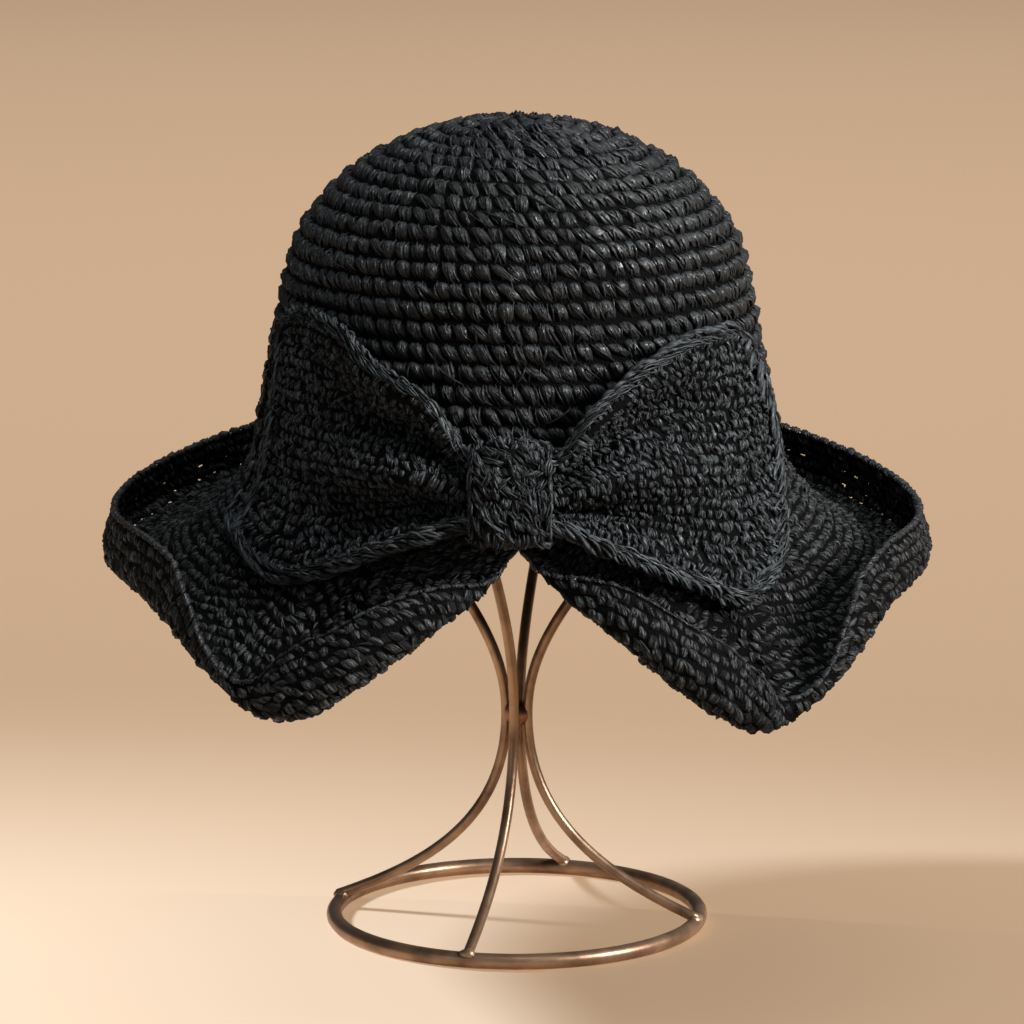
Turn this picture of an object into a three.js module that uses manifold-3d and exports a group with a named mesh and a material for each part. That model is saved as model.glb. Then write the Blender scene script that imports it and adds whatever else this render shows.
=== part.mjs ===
// A crocheted raffia hat with a split, turned-up brim and a bow at the back, on its wire stand.
//
// Millimetres, +Z up. The stand's base ring lies on Z = 0 and the crown's axis is the Z axis.
// The back of the hat, with the bow and the split, faces -Y. An azimuth is counted in degrees
// from the back, positive towards +X.

import * as THREE from "three";
import { mergeVertices } from "three/addons/utils/BufferGeometryUtils.js";
import Module from "manifold-3d";

// Straw
const WALL = 3; // thickness of the crochet
const GAP = 0.3; // clearance where two pieces meet

// Crown: a rounded dome on a wall that widens downwards
const TOP_Z = 299.8; // highest point of the hat
const BASE_Z = 181.8; // where the crown meets the brim
const DOME_RADIUS = 73.5;
const DOME_HEIGHT = 54.5;
const FLARE = 0.19; // how much the wall widens for each millimetre down
const BASE_RADIUS = DOME_RADIUS + FLARE * (TOP_Z - BASE_Z);
const CROWN_SEGMENTS = 44;
const DOME_STEPS = 8;
const WALL_STEPS = 3;

// Brim, one row for each place round the hat, the same on both sides but for the drop:
//   azimuth      where the section is taken, in degrees from the back
//   reach        radius of the fold, the brim's lowest line
//   dropLeft     how far the fold lies under the crown's base on the left side
//   dropRight    the same on the right side
//   rise         how far the free edge stands above the fold
//   lean         how far the free edge lies outside the fold
const BRIM = [
  { azimuth: 0, reach: 102.5, dropLeft: 19.5, dropRight: 19.5, rise: -2, lean: 1 },
  { azimuth: 6, reach: 110, dropLeft: 34, dropRight: 31, rise: 4, lean: 0 },
  { azimuth: 11.5, reach: 119.5, dropLeft: 42.5, dropRight: 40, rise: 12, lean: -3 },
  { azimuth: 17.5, reach: 131, dropLeft: 53, dropRight: 51, rise: 20, lean: -6 },
  { azimuth: 24, reach: 142, dropLeft: 65, dropRight: 65.5, rise: 25, lean: -8 },
  { azimuth: 30, reach: 147, dropLeft: 74.5, dropRight: 76, rise: 26.5, lean: -8 },
  { azimuth: 34.5, reach: 148, dropLeft: 76, dropRight: 80.5, rise: 21, lean: -5 },
  { azimuth: 38, reach: 148, dropLeft: 73.5, dropRight: 79.5, rise: 10, lean: 0 },
  { azimuth: 42, reach: 148, dropLeft: 69.5, dropRight: 75, rise: 7, lean: 3 },
  { azimuth: 46.5, reach: 147, dropLeft: 62.5, dropRight: 69.5, rise: 10, lean: 4 },
  { azimuth: 51, reach: 145.5, dropLeft: 56, dropRight: 62.5, rise: 19, lean: 4 },
  { azimuth: 56, reach: 143.5, dropLeft: 51, dropRight: 56.5, rise: 24, lean: 3 },
  { azimuth: 66, reach: 141.5, dropLeft: 46, dropRight: 48, rise: 23, lean: 4 },
  { azimuth: 90, reach: 142.5, dropLeft: 43, dropRight: 44, rise: 20, lean: 4 },
  { azimuth: 115, reach: 139.5, dropLeft: 37.5, dropRight: 38, rise: 19.5, lean: 4 },
  { azimuth: 145, reach: 135, dropLeft: 29, dropRight: 29, rise: 19, lean: 3 },
  { azimuth: 180, reach: 129, dropLeft: 25, dropRight: 25, rise: 19, lean: 2 },
];
const BRIM_TOP_Z = BASE_Z - 1; // of its middle layer, so that its slanted top face clears the crown
const FULL_CURL = 12; // a free edge that rises this far turns up in a full curl
const WALL_HANDLE = 0.3; // how long the brim goes on down like the crown, as a share of its run
const FOLD_HANDLE = 0.22; // how flat the brim comes into the fold, as a share of its run
const FOLD_HANDLE_LIMIT = 16;
const CURL_HANDLE = 0.75; // how far the curl bulges out, as a share of its chord
const CURL_HANDLE_LIMIT = 14;
const LIP_HANDLE = 0.35; // how straight the free edge stands, as a share of its rise
const LIP_SETBACK = 0.3; // how much of an inward lean the free edge shows at its end
const SLOPE_STEPS = 6;
const CURL_STEPS = 5;
const BACK_SPAN = 60; // the lobes lie within this azimuth, and their sections lie closer together
const BACK_STEPS = 20;
const SIDE_STEPS = 12;

// Bow, a strip gathered in the middle, one row for each place along it:
//   along        distance from the middle, negative to the left
//   topAzimuth, top, bottomAzimuth, bottom   its two long edges, as heights above the crown's base
//   bulge        how far the middle of the row lies to the right of the line between them, in degrees
//   lift         height of its middle layer above the hat
//   pleat        depth of its folds
const BOW = [
  { along: -106, topAzimuth: -68, top: 48, bottomAzimuth: -67.5, bottom: -21.5, bulge: 0, lift: 3.6, pleat: 0 },
  { along: -92, topAzimuth: -57, top: 53.5, bottomAzimuth: -46, bottom: -34, bulge: 0, lift: 4, pleat: 0 },
  { along: -72, topAzimuth: -41.5, top: 50.5, bottomAzimuth: -36, bottom: -29.5, bulge: 0, lift: 5.5, pleat: 3 },
  { along: -52, topAzimuth: -30.5, top: 41, bottomAzimuth: -27, bottom: -22.5, bulge: 0, lift: 8, pleat: 5.5 },
  { along: -30, topAzimuth: -18, top: 31, bottomAzimuth: -17, bottom: -15, bulge: 0, lift: 10, pleat: 7 },
  { along: -15, topAzimuth: -9.5, top: 12.5, bottomAzimuth: -9, bottom: -10.5, bulge: 0, lift: 11, pleat: 2 },
  { along: 0, topAzimuth: -1.5, top: 9.5, bottomAzimuth: -1.5, bottom: -10.5, bulge: 0, lift: 11.5, pleat: 2 },
  { along: 11, topAzimuth: 6.5, top: 9.5, bottomAzimuth: 6, bottom: -11, bulge: 0, lift: 11, pleat: 2 },
  { along: 28, topAzimuth: 15, top: 26.5, bottomAzimuth: 14.5, bottom: -18, bulge: 0, lift: 9.5, pleat: 6.5 },
  { along: 48, topAzimuth: 27, top: 40.5, bottomAzimuth: 23, bottom: -25.5, bulge: 0, lift: 7.5, pleat: 5 },
  { along: 74, topAzimuth: 43, top: 48, bottomAzimuth: 33.5, bottom: -34.5, bulge: 1, lift: 5.5, pleat: 3 },
  { along: 98, topAzimuth: 55, top: 48, bottomAzimuth: 42, bottom: -40.5, bulge: 5, lift: 4, pleat: 0 },
  { along: 120, topAzimuth: 63, top: 42, bottomAzimuth: 52, bottom: -34.5, bulge: 11, lift: 3.6, pleat: 0 },
];
const PLEAT_WAVES = 2; // folds across the bow where it is gathered
const PLEAT_START = 0.12; // how far into the first fold its top edge lies, so that the edge rolls in
const BOW_ROWS = 30;
const BOW_COLUMNS = 8;

// Band round the middle of the bow
const BAND_WIDTH = 28;
const BAND_HALF_HEIGHT = 16.8; // of the loop's middle layer
const BAND_HALF_DEPTH = 6.8;
const BAND_SQUARENESS = 3.2; // exponent of the loop: 2 is an ellipse, more is squarer
const BAND_CENTER = new THREE.Vector3(-2.5, -107.3, BASE_Z);
const BAND_TILT = 13; // leans back with the wall behind it, in degrees
const BAND_STEPS = 24;
const BAND_COLUMNS = 2;
const BAND_CROWN = 1.2; // how much the band swells in the middle of its width

// Stand: two long wires bent over the top, crossing at the waist, on a base ring
const WIRE_RADIUS = 1.9;
const RING_RADIUS = 67.5;
const RING_WIRE_RADIUS = 2.9;
const RING_SEGMENTS = 48;
const WIRE_SIDES = 8;
const RING_SIDES = 8;
const WIRE_STEPS = 60;
const WIRE_AZIMUTHS = [75, 165]; // of the two wires' planes
const WAIST_Z = 78.8;
const WAIST_RADIUS = 4; // from the axis to each wire's middle
const FOOT_RADIUS = RING_RADIUS + 1.5; // where a wire ends, on top of the ring
const FOOT_Z = RING_WIRE_RADIUS + 2.2;
const FOOT_SLOPE = THREE.MathUtils.degToRad(22); // of the wire where it meets the ring
const FOOT_HANDLE = 34;
const WAIST_HANDLE_DOWN = 43;
const WAIST_HANDLE_UP = 50;
const CAGE_RADIUS = 70;
const CAGE_Z = 217; // height of the cage's widest place
const CAGE_HANDLE = 60;
const CAGE_TOP_Z = TOP_Z - WALL - GAP - WIRE_RADIUS;
const QUARTER_ARC = 0.5523; // handle of a Bezier quarter of an ellipse
const SOLDER_RADIUS = 4.6;
const SOLDER_HEIGHT = 9;
const SOLDER_STEPS = 8;

const wasm = await Module();
wasm.setup();

// Point at a radius, azimuth and height
function polar(radius, azimuth, z) {
  const angle = THREE.MathUtils.degToRad(azimuth);
  return new THREE.Vector3(radius * Math.sin(angle), -radius * Math.cos(angle), z);
}

// Value of one column of a table at a place on another, along a smooth line that never overshoots
function lookUp(table, place, column, value) {
  const last = table.length - 2;
  const found = table.findIndex((row) => row[place] > value) - 1;
  const i = found < 0 ? (value < table[0][place] ? 0 : last) : found;
  const step = (k) => table[k + 1][place] - table[k][place];
  const slope = (k) => (table[k + 1][column] - table[k][column]) / step(k);
  const tangent = (k) => {
    if (k === 0) return slope(0);
    if (k === table.length - 1) return 0;
    const product = slope(k - 1) * slope(k);
    return product > 0 ? (2 * product) / (slope(k - 1) + slope(k)) : 0;
  };
  const h = step(i);
  const t = (value - table[i][place]) / h;
  const eased = t * t * (3 - 2 * t);
  const bend = h * t * (1 - t) * ((1 - t) * tangent(i) - t * tangent(i + 1));
  return table[i][column] + eased * (table[i + 1][column] - table[i][column]) + bend;
}

// Outer radius of the crown at a height
function crownRadius(z) {
  const depth = TOP_Z - z;
  const share = Math.max(0, 1 - depth / DOME_HEIGHT);
  return DOME_RADIUS * Math.sqrt(1 - share * share) + FLARE * depth;
}

// Middle layer of the brim at an azimuth, from the crown to the free edge, as radius and height
function brimSection(azimuth) {
  const side = Math.abs(azimuth);
  const value = (column) => lookUp(BRIM, "azimuth", column, side);
  const lean = value("lean");
  const rise = value("rise");
  const start = new THREE.Vector2(BASE_RADIUS - WALL / 2, BRIM_TOP_Z);
  const fold = new THREE.Vector2(value("reach"), BASE_Z - value(azimuth < 0 ? "dropLeft" : "dropRight"));
  const edge = fold.clone().add(new THREE.Vector2(lean, rise));
  const run = fold.distanceTo(start);
  const chord = edge.distanceTo(fold);
  const curl = THREE.MathUtils.clamp(rise / FULL_CURL, 0, 1);
  const wallway = new THREE.Vector2(FLARE, -1).normalize();
  const slopeway = fold.clone().sub(start).normalize();
  const foldway = slopeway.clone().lerp(new THREE.Vector2(1, 0), curl).normalize();
  const lipway = new THREE.Vector2(Math.min(lean * LIP_SETBACK, 0), 1).normalize();
  const edgeway = edge.clone().sub(fold).normalize().lerp(lipway, curl).normalize();
  const slope = new THREE.CubicBezierCurve(
    start,
    start.clone().addScaledVector(wallway, run * WALL_HANDLE),
    fold.clone().addScaledVector(foldway, -Math.min(run * FOLD_HANDLE, FOLD_HANDLE_LIMIT)),
    fold,
  );
  const turn = new THREE.CubicBezierCurve(
    fold,
    fold.clone().addScaledVector(foldway, Math.min(chord * CURL_HANDLE, CURL_HANDLE_LIMIT)),
    edge.clone().addScaledVector(edgeway, -chord * LIP_HANDLE),
    edge,
  );
  return [...slope.getPoints(SLOPE_STEPS), ...turn.getPoints(CURL_STEPS).slice(1)];
}

// Outer radius of the hat at an azimuth and height, on the crown or the brim's slope
function hatRadius(azimuth, z) {
  if (z >= BASE_Z) return crownRadius(z);
  const slope = brimSection(azimuth).slice(0, SLOPE_STEPS + 1);
  const i = Math.max(1, slope.findIndex((point) => point.y <= z));
  const share = (slope[i - 1].y - z) / (slope[i - 1].y - slope[i].y);
  return THREE.MathUtils.lerp(slope[i - 1].x, slope[i].x, share) + WALL / 2;
}

// Closed sheet of one thickness about a grid of points. A looped grid's last row meets its first.
function thicken(grid, thickness, looped) {
  const rows = grid.length;
  const columns = grid[0].length;
  const rowAt = (i) => grid[looped ? (i + rows) % rows : THREE.MathUtils.clamp(i, 0, rows - 1)];
  const columnAt = (row, j) => row[THREE.MathUtils.clamp(j, 0, columns - 1)];
  const faces = [[], []];
  for (let i = 0; i < rows; i += 1) {
    for (let j = 0; j < columns; j += 1) {
      const across = columnAt(grid[i], j + 1).clone().sub(columnAt(grid[i], j - 1));
      const onward = rowAt(i + 1)[j].clone().sub(rowAt(i - 1)[j]);
      const normal = onward.cross(across).normalize();
      faces[0].push(grid[i][j].clone().addScaledVector(normal, thickness / 2));
      faces[1].push(grid[i][j].clone().addScaledVector(normal, -thickness / 2));
    }
  }
  const index = [];
  const quad = (a, b, c, d) => index.push(a, b, c, a, c, d);
  const front = (i, j) => (i % rows) * columns + j;
  const back = (i, j) => rows * columns + front(i, j);
  const spans = looped ? rows : rows - 1;
  for (let i = 0; i < spans; i += 1) {
    for (let j = 0; j < columns - 1; j += 1) {
      quad(front(i, j), front(i + 1, j), front(i + 1, j + 1), front(i, j + 1));
      quad(back(i, j), back(i, j + 1), back(i + 1, j + 1), back(i + 1, j));
    }
    quad(front(i, 0), back(i, 0), back(i + 1, 0), front(i + 1, 0));
    quad(front(i, columns - 1), front(i + 1, columns - 1), back(i + 1, columns - 1), back(i, columns - 1));
  }
  if (!looped) {
    for (let j = 0; j < columns - 1; j += 1) {
      quad(front(0, j), front(0, j + 1), back(0, j + 1), back(0, j));
      quad(front(rows - 1, j), back(rows - 1, j), back(rows - 1, j + 1), front(rows - 1, j + 1));
    }
  }
  const geometry = new THREE.BufferGeometry().setFromPoints([...faces[0], ...faces[1]]);
  geometry.setIndex(index);
  return geometry;
}

// Crown: a turned shell, open below
function crownGeometry() {
  const shell = (inset, bottom) => {
    const points = [];
    const domeFoot = TOP_Z - DOME_HEIGHT;
    for (let i = 0; i <= DOME_STEPS; i += 1) {
      const angle = (Math.PI / 2) * (i / DOME_STEPS);
      const z = TOP_Z - DOME_HEIGHT * (1 - Math.cos(angle));
      const radius = Math.max(0, crownRadius(z) - inset * Math.sin(angle));
      points.push(new THREE.Vector2(radius, z - inset * Math.cos(angle)));
    }
    for (let i = 1; i <= WALL_STEPS; i += 1) {
      const z = THREE.MathUtils.lerp(domeFoot, bottom, i / WALL_STEPS);
      points.push(new THREE.Vector2(crownRadius(z) - inset, z));
    }
    return points;
  };
  const profile = [...shell(WALL, BASE_Z), ...shell(0, BASE_Z).reverse()];
  return new THREE.LatheGeometry(profile, CROWN_SEGMENTS).rotateX(Math.PI / 2);
}

// Brim: a ring of sections, closer together at the back where the two lobes hang
function brimGeometry() {
  const half = [];
  for (let i = 0; i <= BACK_STEPS; i += 1) half.push((BACK_SPAN * i) / BACK_STEPS);
  for (let i = 1; i <= SIDE_STEPS; i += 1) half.push(BACK_SPAN + ((180 - BACK_SPAN) * i) / SIDE_STEPS);
  const mirrored = half.slice(1, -1).reverse().map((azimuth) => -azimuth);
  const azimuths = [...half, ...mirrored];
  const place = (azimuth) => brimSection(azimuth).map((point) => polar(point.x, azimuth, point.y));
  const grid = azimuths.map((azimuth) => place(azimuth));
  return thicken(grid, WALL, true);
}

// Bow: one pleated strip from the left end to the right end
function bowGeometry() {
  const first = BOW[0].along;
  const length = BOW[BOW.length - 1].along - first;
  const grid = [];
  for (let i = 0; i <= BOW_ROWS; i += 1) {
    const along = first + (length * i) / BOW_ROWS;
    const value = (column) => lookUp(BOW, "along", column, along);
    const row = [];
    for (let j = 0; j <= BOW_COLUMNS; j += 1) {
      const v = j / BOW_COLUMNS;
      const bulge = 4 * v * (1 - v) * value("bulge");
      const azimuth = THREE.MathUtils.lerp(value("topAzimuth"), value("bottomAzimuth"), v) + bulge;
      const z = BASE_Z + THREE.MathUtils.lerp(value("top"), value("bottom"), v);
      const fold = value("pleat") * Math.cos(2 * Math.PI * (PLEAT_WAVES * v - PLEAT_START));
      row.push(polar(hatRadius(azimuth, z) + value("lift") + fold, azimuth, z));
    }
    grid.push(row);
  }
  return thicken(grid, WALL, false);
}

// Band: a closed loop with rounded corners round the gathered middle of the bow
function bandGeometry() {
  const corner = (value) => Math.sign(value) * Math.abs(value) ** (2 / BAND_SQUARENESS);
  const tilt = THREE.MathUtils.degToRad(-BAND_TILT);
  const grid = [];
  for (let i = 0; i < BAND_STEPS; i += 1) {
    const angle = (2 * Math.PI * i) / BAND_STEPS;
    const row = [];
    for (let j = 0; j <= BAND_COLUMNS; j += 1) {
      const share = (2 * j) / BAND_COLUMNS - 1;
      const swell = BAND_CROWN * (1 - share * share);
      const depth = -(BAND_HALF_DEPTH + swell) * corner(Math.cos(angle));
      const height = (BAND_HALF_HEIGHT + swell) * corner(Math.sin(angle));
      const point = new THREE.Vector3((share * BAND_WIDTH) / 2, depth, height);
      row.push(point.applyAxisAngle(new THREE.Vector3(1, 0, 0), tilt).add(BAND_CENTER));
    }
    grid.push(row);
  }
  return thicken(grid, WALL, true);
}

// One long wire of the stand: up from the ring, through the waist, over the top and down the other side
class WireCurve extends THREE.Curve {
  constructor(azimuth) {
    super();
    this.azimuth = azimuth;
    const at = (radius, z) => new THREE.Vector2(radius, z);
    const foot = at(FOOT_RADIUS, FOOT_Z);
    const footway = at(-Math.cos(FOOT_SLOPE), Math.sin(FOOT_SLOPE));
    const waist = at(WAIST_RADIUS, WAIST_Z);
    const widest = at(CAGE_RADIUS, CAGE_Z);
    const top = at(0, CAGE_TOP_Z);
    this.half = new THREE.CurvePath();
    this.half.add(new THREE.CubicBezierCurve(
      foot,
      foot.clone().addScaledVector(footway, FOOT_HANDLE),
      at(WAIST_RADIUS, WAIST_Z - WAIST_HANDLE_DOWN),
      waist,
    ));
    this.half.add(new THREE.CubicBezierCurve(
      waist,
      at(WAIST_RADIUS, WAIST_Z + WAIST_HANDLE_UP),
      at(CAGE_RADIUS, CAGE_Z - CAGE_HANDLE),
      widest,
    ));
    this.half.add(new THREE.CubicBezierCurve(
      widest,
      at(CAGE_RADIUS, CAGE_Z + QUARTER_ARC * (CAGE_TOP_Z - CAGE_Z)),
      at(CAGE_RADIUS * (1 - QUARTER_ARC), CAGE_TOP_Z),
      top,
    ));
  }

  getPoint(t, target = new THREE.Vector3()) {
    const near = t <= 0.5;
    const point = this.half.getPointAt(near ? 2 * t : 2 - 2 * t);
    return target.copy(polar(near ? point.x : -point.x, this.azimuth, point.y));
  }
}

// Solid for joining, from a closed geometry
function solid(geometry) {
  const bare = geometry.clone();
  bare.deleteAttribute("normal");
  bare.deleteAttribute("uv");
  const merged = mergeVertices(bare, 1e-3);
  return new wasm.Manifold(new wasm.Mesh({
    numProp: 3,
    vertProperties: new Float32Array(merged.attributes.position.array),
    triVerts: new Uint32Array(merged.index.array),
  }));
}

// Geometry of a joined solid
function geometryOf(joined) {
  const mesh = joined.getMesh();
  const geometry = new THREE.BufferGeometry();
  geometry.setAttribute("position", new THREE.BufferAttribute(mesh.vertProperties.slice(), 3));
  geometry.setIndex(new THREE.BufferAttribute(mesh.triVerts.slice(), 1));
  return geometry;
}

// Regular polygon round a point, with a flat side down, as a closed list of points
function polygon(sides, inradius, center) {
  const radius = inradius / Math.cos(Math.PI / sides);
  const points = [];
  for (let i = 0; i <= sides; i += 1) {
    const angle = -Math.PI / 2 + (Math.PI / sides) * (2 * (i % sides) + 1);
    points.push(new THREE.Vector2(center.x + radius * Math.cos(angle), center.y + radius * Math.sin(angle)));
  }
  return points;
}

// Stand: the ring, the two wires and the solder at the waist, joined in one solid
function standGeometry() {
  const section = polygon(RING_SIDES, RING_WIRE_RADIUS, new THREE.Vector2(RING_RADIUS, RING_WIRE_RADIUS));
  let stand = solid(new THREE.LatheGeometry(section, RING_SEGMENTS).rotateX(Math.PI / 2));
  const wire = new THREE.Shape(polygon(WIRE_SIDES, WIRE_RADIUS, new THREE.Vector2()).slice(0, -1));
  for (const azimuth of WIRE_AZIMUTHS) {
    const path = new WireCurve(azimuth);
    stand = stand.add(solid(new THREE.ExtrudeGeometry(wire, { steps: WIRE_STEPS, extrudePath: path })));
  }
  const blob = [];
  for (let i = 0; i <= SOLDER_STEPS; i += 1) {
    const angle = Math.PI * (i / SOLDER_STEPS - 0.5);
    const radius = i % SOLDER_STEPS === 0 ? 0 : SOLDER_RADIUS * Math.cos(angle);
    blob.push(new THREE.Vector2(radius, WAIST_Z + (SOLDER_HEIGHT / 2) * Math.sin(angle)));
  }
  stand = stand.add(solid(new THREE.LatheGeometry(blob, WIRE_SIDES * 2).rotateX(Math.PI / 2)));
  return geometryOf(stand);
}

const straw = () => new THREE.MeshStandardMaterial({ color: 0x1f2021, roughness: 0.75, metalness: 0 });
const bronze = () => new THREE.MeshStandardMaterial({ color: 0x8a5f42, roughness: 0.38, metalness: 0.9 });

const hat = new THREE.Group();
const pieces = [
  { name: "crown", geometry: crownGeometry(), material: straw() },
  { name: "brim", geometry: brimGeometry(), material: straw() },
  { name: "bow", geometry: bowGeometry(), material: straw() },
  { name: "bow_band", geometry: bandGeometry(), material: straw() },
  { name: "stand", geometry: standGeometry(), material: bronze() },
];
for (const { name, geometry, material } of pieces) {
  const mesh = new THREE.Mesh(geometry, material);
  mesh.name = name;
  hat.add(mesh);
}

export default hat;
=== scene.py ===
"""Looks of a black crocheted raffia hat with a bow at the back, on a bronze wire stand.

The hat is covered stitch by stitch: plump stitches with loose strands over them lie on curved sheets, and
a thin core behind them closes the wall. Lengths are in millimetres until a mesh is written, and the back of
the hat faces -Y. An azimuth is counted in degrees from the back, positive towards +X.
"""

import logging
import math
from dataclasses import dataclass, fields
from enum import Enum
from typing import Any, NamedTuple

import bpy
import numpy as np
from mathutils.kdtree import KDTree
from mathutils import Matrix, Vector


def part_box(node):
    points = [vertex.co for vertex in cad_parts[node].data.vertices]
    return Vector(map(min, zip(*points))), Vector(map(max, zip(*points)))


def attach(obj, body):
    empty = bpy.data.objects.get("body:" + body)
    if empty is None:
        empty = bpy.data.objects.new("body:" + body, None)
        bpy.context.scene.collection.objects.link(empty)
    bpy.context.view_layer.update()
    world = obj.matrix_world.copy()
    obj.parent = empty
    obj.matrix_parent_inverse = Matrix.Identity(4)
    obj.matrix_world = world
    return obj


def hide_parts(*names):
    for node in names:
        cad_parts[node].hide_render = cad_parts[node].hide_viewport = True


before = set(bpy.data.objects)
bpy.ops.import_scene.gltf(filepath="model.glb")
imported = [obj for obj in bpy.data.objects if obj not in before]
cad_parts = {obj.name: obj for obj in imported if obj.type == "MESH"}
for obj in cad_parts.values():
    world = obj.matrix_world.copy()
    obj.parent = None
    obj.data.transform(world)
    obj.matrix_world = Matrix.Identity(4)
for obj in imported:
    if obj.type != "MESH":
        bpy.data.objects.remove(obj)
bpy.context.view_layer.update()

MM = 0.001
BODY = "root"
LOG = logging.getLogger("hat")

# Small numbers that keep a division away from nought.
TINY = 1e-12
TINY_AREA = 1e-9
# Taken off a grid's length, so that the last place that is read still has a next point.
INSIDE_GRID = 1.001
# Points down the crown's dome and down its wall.
DOME_STEPS = 200
WALL_STEPS = 60
# How a leaning stitch shifts along its row on its way down.
LEAN_PIVOT = 0.4
LEAN_START = 0.7
LEAN_GROWTH = 0.5
# Fewest stitches in a row, and the share of a stitch over which the row's way is read.
FEWEST_STITCHES = 3
ROW_REACH = 0.4
# Range of the numbers that set one fibre's streaks apart from another's.
GRAIN_SEEDS = 400.0


class Face(Enum):
    """Which face of a sheet is stitched."""

    OUTER = 1.0
    INNER = -1.0


class Side(Enum):
    """An edge of a sheet's grid."""

    FIRST_COLUMN = "first column"
    LAST_COLUMN = "last column"
    FIRST_ROW = "first row"
    LAST_ROW = "last row"


class BrimRow(NamedTuple):
    """One section of the brim, the same on both sides but for the drop."""

    azimuth: float
    reach: float
    drop_left: float
    drop_right: float
    rise: float
    lean: float


class BowRow(NamedTuple):
    """One place along the bow.

    Its two long edges are given by their azimuths and their heights above the crown's base. Bulge is how far
    the middle of the row lies to the right of the line between them, lift is its height above the hat and
    pleat the depth of its folds.
    """

    along: float
    top_azimuth: float
    top: float
    bottom_azimuth: float
    bottom: float
    bulge: float
    lift: float
    pleat: float


BRIM = (
    BrimRow(0, 102.5, 19.5, 19.5, -2, 1),
    BrimRow(6, 110, 34, 31, 4, 0),
    BrimRow(11.5, 119.5, 42.5, 40, 12, -3),
    BrimRow(17.5, 131, 53, 51, 20, -6),
    BrimRow(24, 142, 65, 65.5, 25, -8),
    BrimRow(30, 147, 74.5, 76, 26.5, -8),
    BrimRow(34.5, 148, 76, 80.5, 21, -5),
    BrimRow(38, 148, 73.5, 79.5, 10, 0),
    BrimRow(42, 148, 69.5, 75, 7, 3),
    BrimRow(46.5, 147, 62.5, 69.5, 10, 4),
    BrimRow(51, 145.5, 56, 62.5, 19, 4),
    BrimRow(56, 143.5, 51, 56.5, 24, 3),
    BrimRow(66, 141.5, 46, 48, 23, 4),
    BrimRow(90, 142.5, 43, 44, 20, 4),
    BrimRow(115, 139.5, 37.5, 38, 19.5, 4),
    BrimRow(145, 135, 29, 29, 19, 3),
    BrimRow(180, 129, 25, 25, 19, 2),
)

BOW = (
    BowRow(-106, -68, 48, -67.5, -21.5, 0, 3.6, 0),
    BowRow(-92, -57, 53.5, -46, -34, 0, 4, 0),
    BowRow(-72, -41.5, 50.5, -36, -29.5, 0, 5.5, 3),
    BowRow(-52, -30.5, 41, -27, -22.5, 0, 8, 5.5),
    BowRow(-30, -18, 31, -17, -15, 0, 10, 7),
    BowRow(-15, -9.5, 12.5, -9, -10.5, 0, 11, 2),
    BowRow(0, -1.5, 9.5, -1.5, -10.5, 0, 11.5, 2),
    BowRow(11, 6.5, 9.5, 6, -11, 0, 11, 2),
    BowRow(28, 15, 26.5, 14.5, -18, 0, 9.5, 6.5),
    BowRow(48, 27, 40.5, 23, -25.5, 0, 7.5, 5),
    BowRow(74, 43, 48, 33.5, -34.5, 1, 5.5, 3),
    BowRow(98, 55, 48, 42, -40.5, 5, 4, 0),
    BowRow(120, 63, 42, 52, -34.5, 11, 3.6, 0),
)


def look_up(table: tuple, column: str, places: np.ndarray) -> np.ndarray:
    """Value of one column along a table's first column, on a smooth line that never overshoots.

    Args:
        table: rows sorted by their first field.
        column: name of the field to read.
        places: where to read it.

    Returns:
        One value for each place.
    """
    at = np.array([row[0] for row in table], float)
    value = np.array([getattr(row, column) for row in table], float)
    slope = np.diff(value) / np.diff(at)
    product = slope[:-1] * slope[1:]
    total = np.where(product > 0, slope[:-1] + slope[1:], 1.0)
    tangent = np.concatenate([slope[:1], np.where(product > 0, 2 * product / total, 0.0), [0.0]])
    i = np.clip(np.searchsorted(at, places, side="right") - 1, 0, len(at) - 2)
    h = at[i + 1] - at[i]
    t = (places - at[i]) / h
    eased = t * t * (3 - 2 * t)
    bend = h * t * (1 - t) * ((1 - t) * tangent[i] - t * tangent[i + 1])
    return value[i] + eased * (value[i + 1] - value[i]) + bend


def polar(radius: np.ndarray, azimuth: np.ndarray, z: np.ndarray) -> np.ndarray:
    """Points at a radius, an azimuth in degrees and a height."""
    angle = np.radians(azimuth)
    return np.stack(np.broadcast_arrays(radius * np.sin(angle), -radius * np.cos(angle), z), -1)


def bezier(a: np.ndarray, b: np.ndarray, c: np.ndarray, d: np.ndarray, steps: int) -> np.ndarray:
    """Points of a cubic curve with the ends a and d and the handles b and c."""
    t = np.linspace(0, 1, steps + 1)[:, None]
    return (1 - t) ** 3 * a + 3 * (1 - t) ** 2 * t * b + 3 * (1 - t) * t * t * c + t**3 * d


def unit(vectors: np.ndarray) -> np.ndarray:
    """Vectors at length one."""
    return vectors / np.maximum(np.linalg.norm(vectors, axis=-1, keepdims=True), TINY)


def evenly(points: np.ndarray, count: int) -> np.ndarray:
    """A polyline's points moved to even steps along it."""
    return shorter(points, 0.0, count)


def shorter(points: np.ndarray, cut: float, count: int) -> np.ndarray:
    """A polyline with its last stretch cut off, at even steps.

    Args:
        points: of the polyline.
        cut: length to leave off at its end.
        count: how many points to give back.

    Returns:
        The points.
    """
    step = np.linalg.norm(np.diff(points, axis=0), axis=1)
    at = np.concatenate([[0.0], np.cumsum(step)])
    want = np.linspace(0, at[-1] - cut, count)
    return np.stack([np.interp(want, at, points[:, k]) for k in range(points.shape[1])], -1)


def leaning(lean: np.ndarray, t: np.ndarray) -> np.ndarray:
    """Shift along the row at shares of the way down a stitch that leans."""
    return lean * (t - LEAN_PIVOT) * (LEAN_START + LEAN_GROWTH * t)


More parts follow.
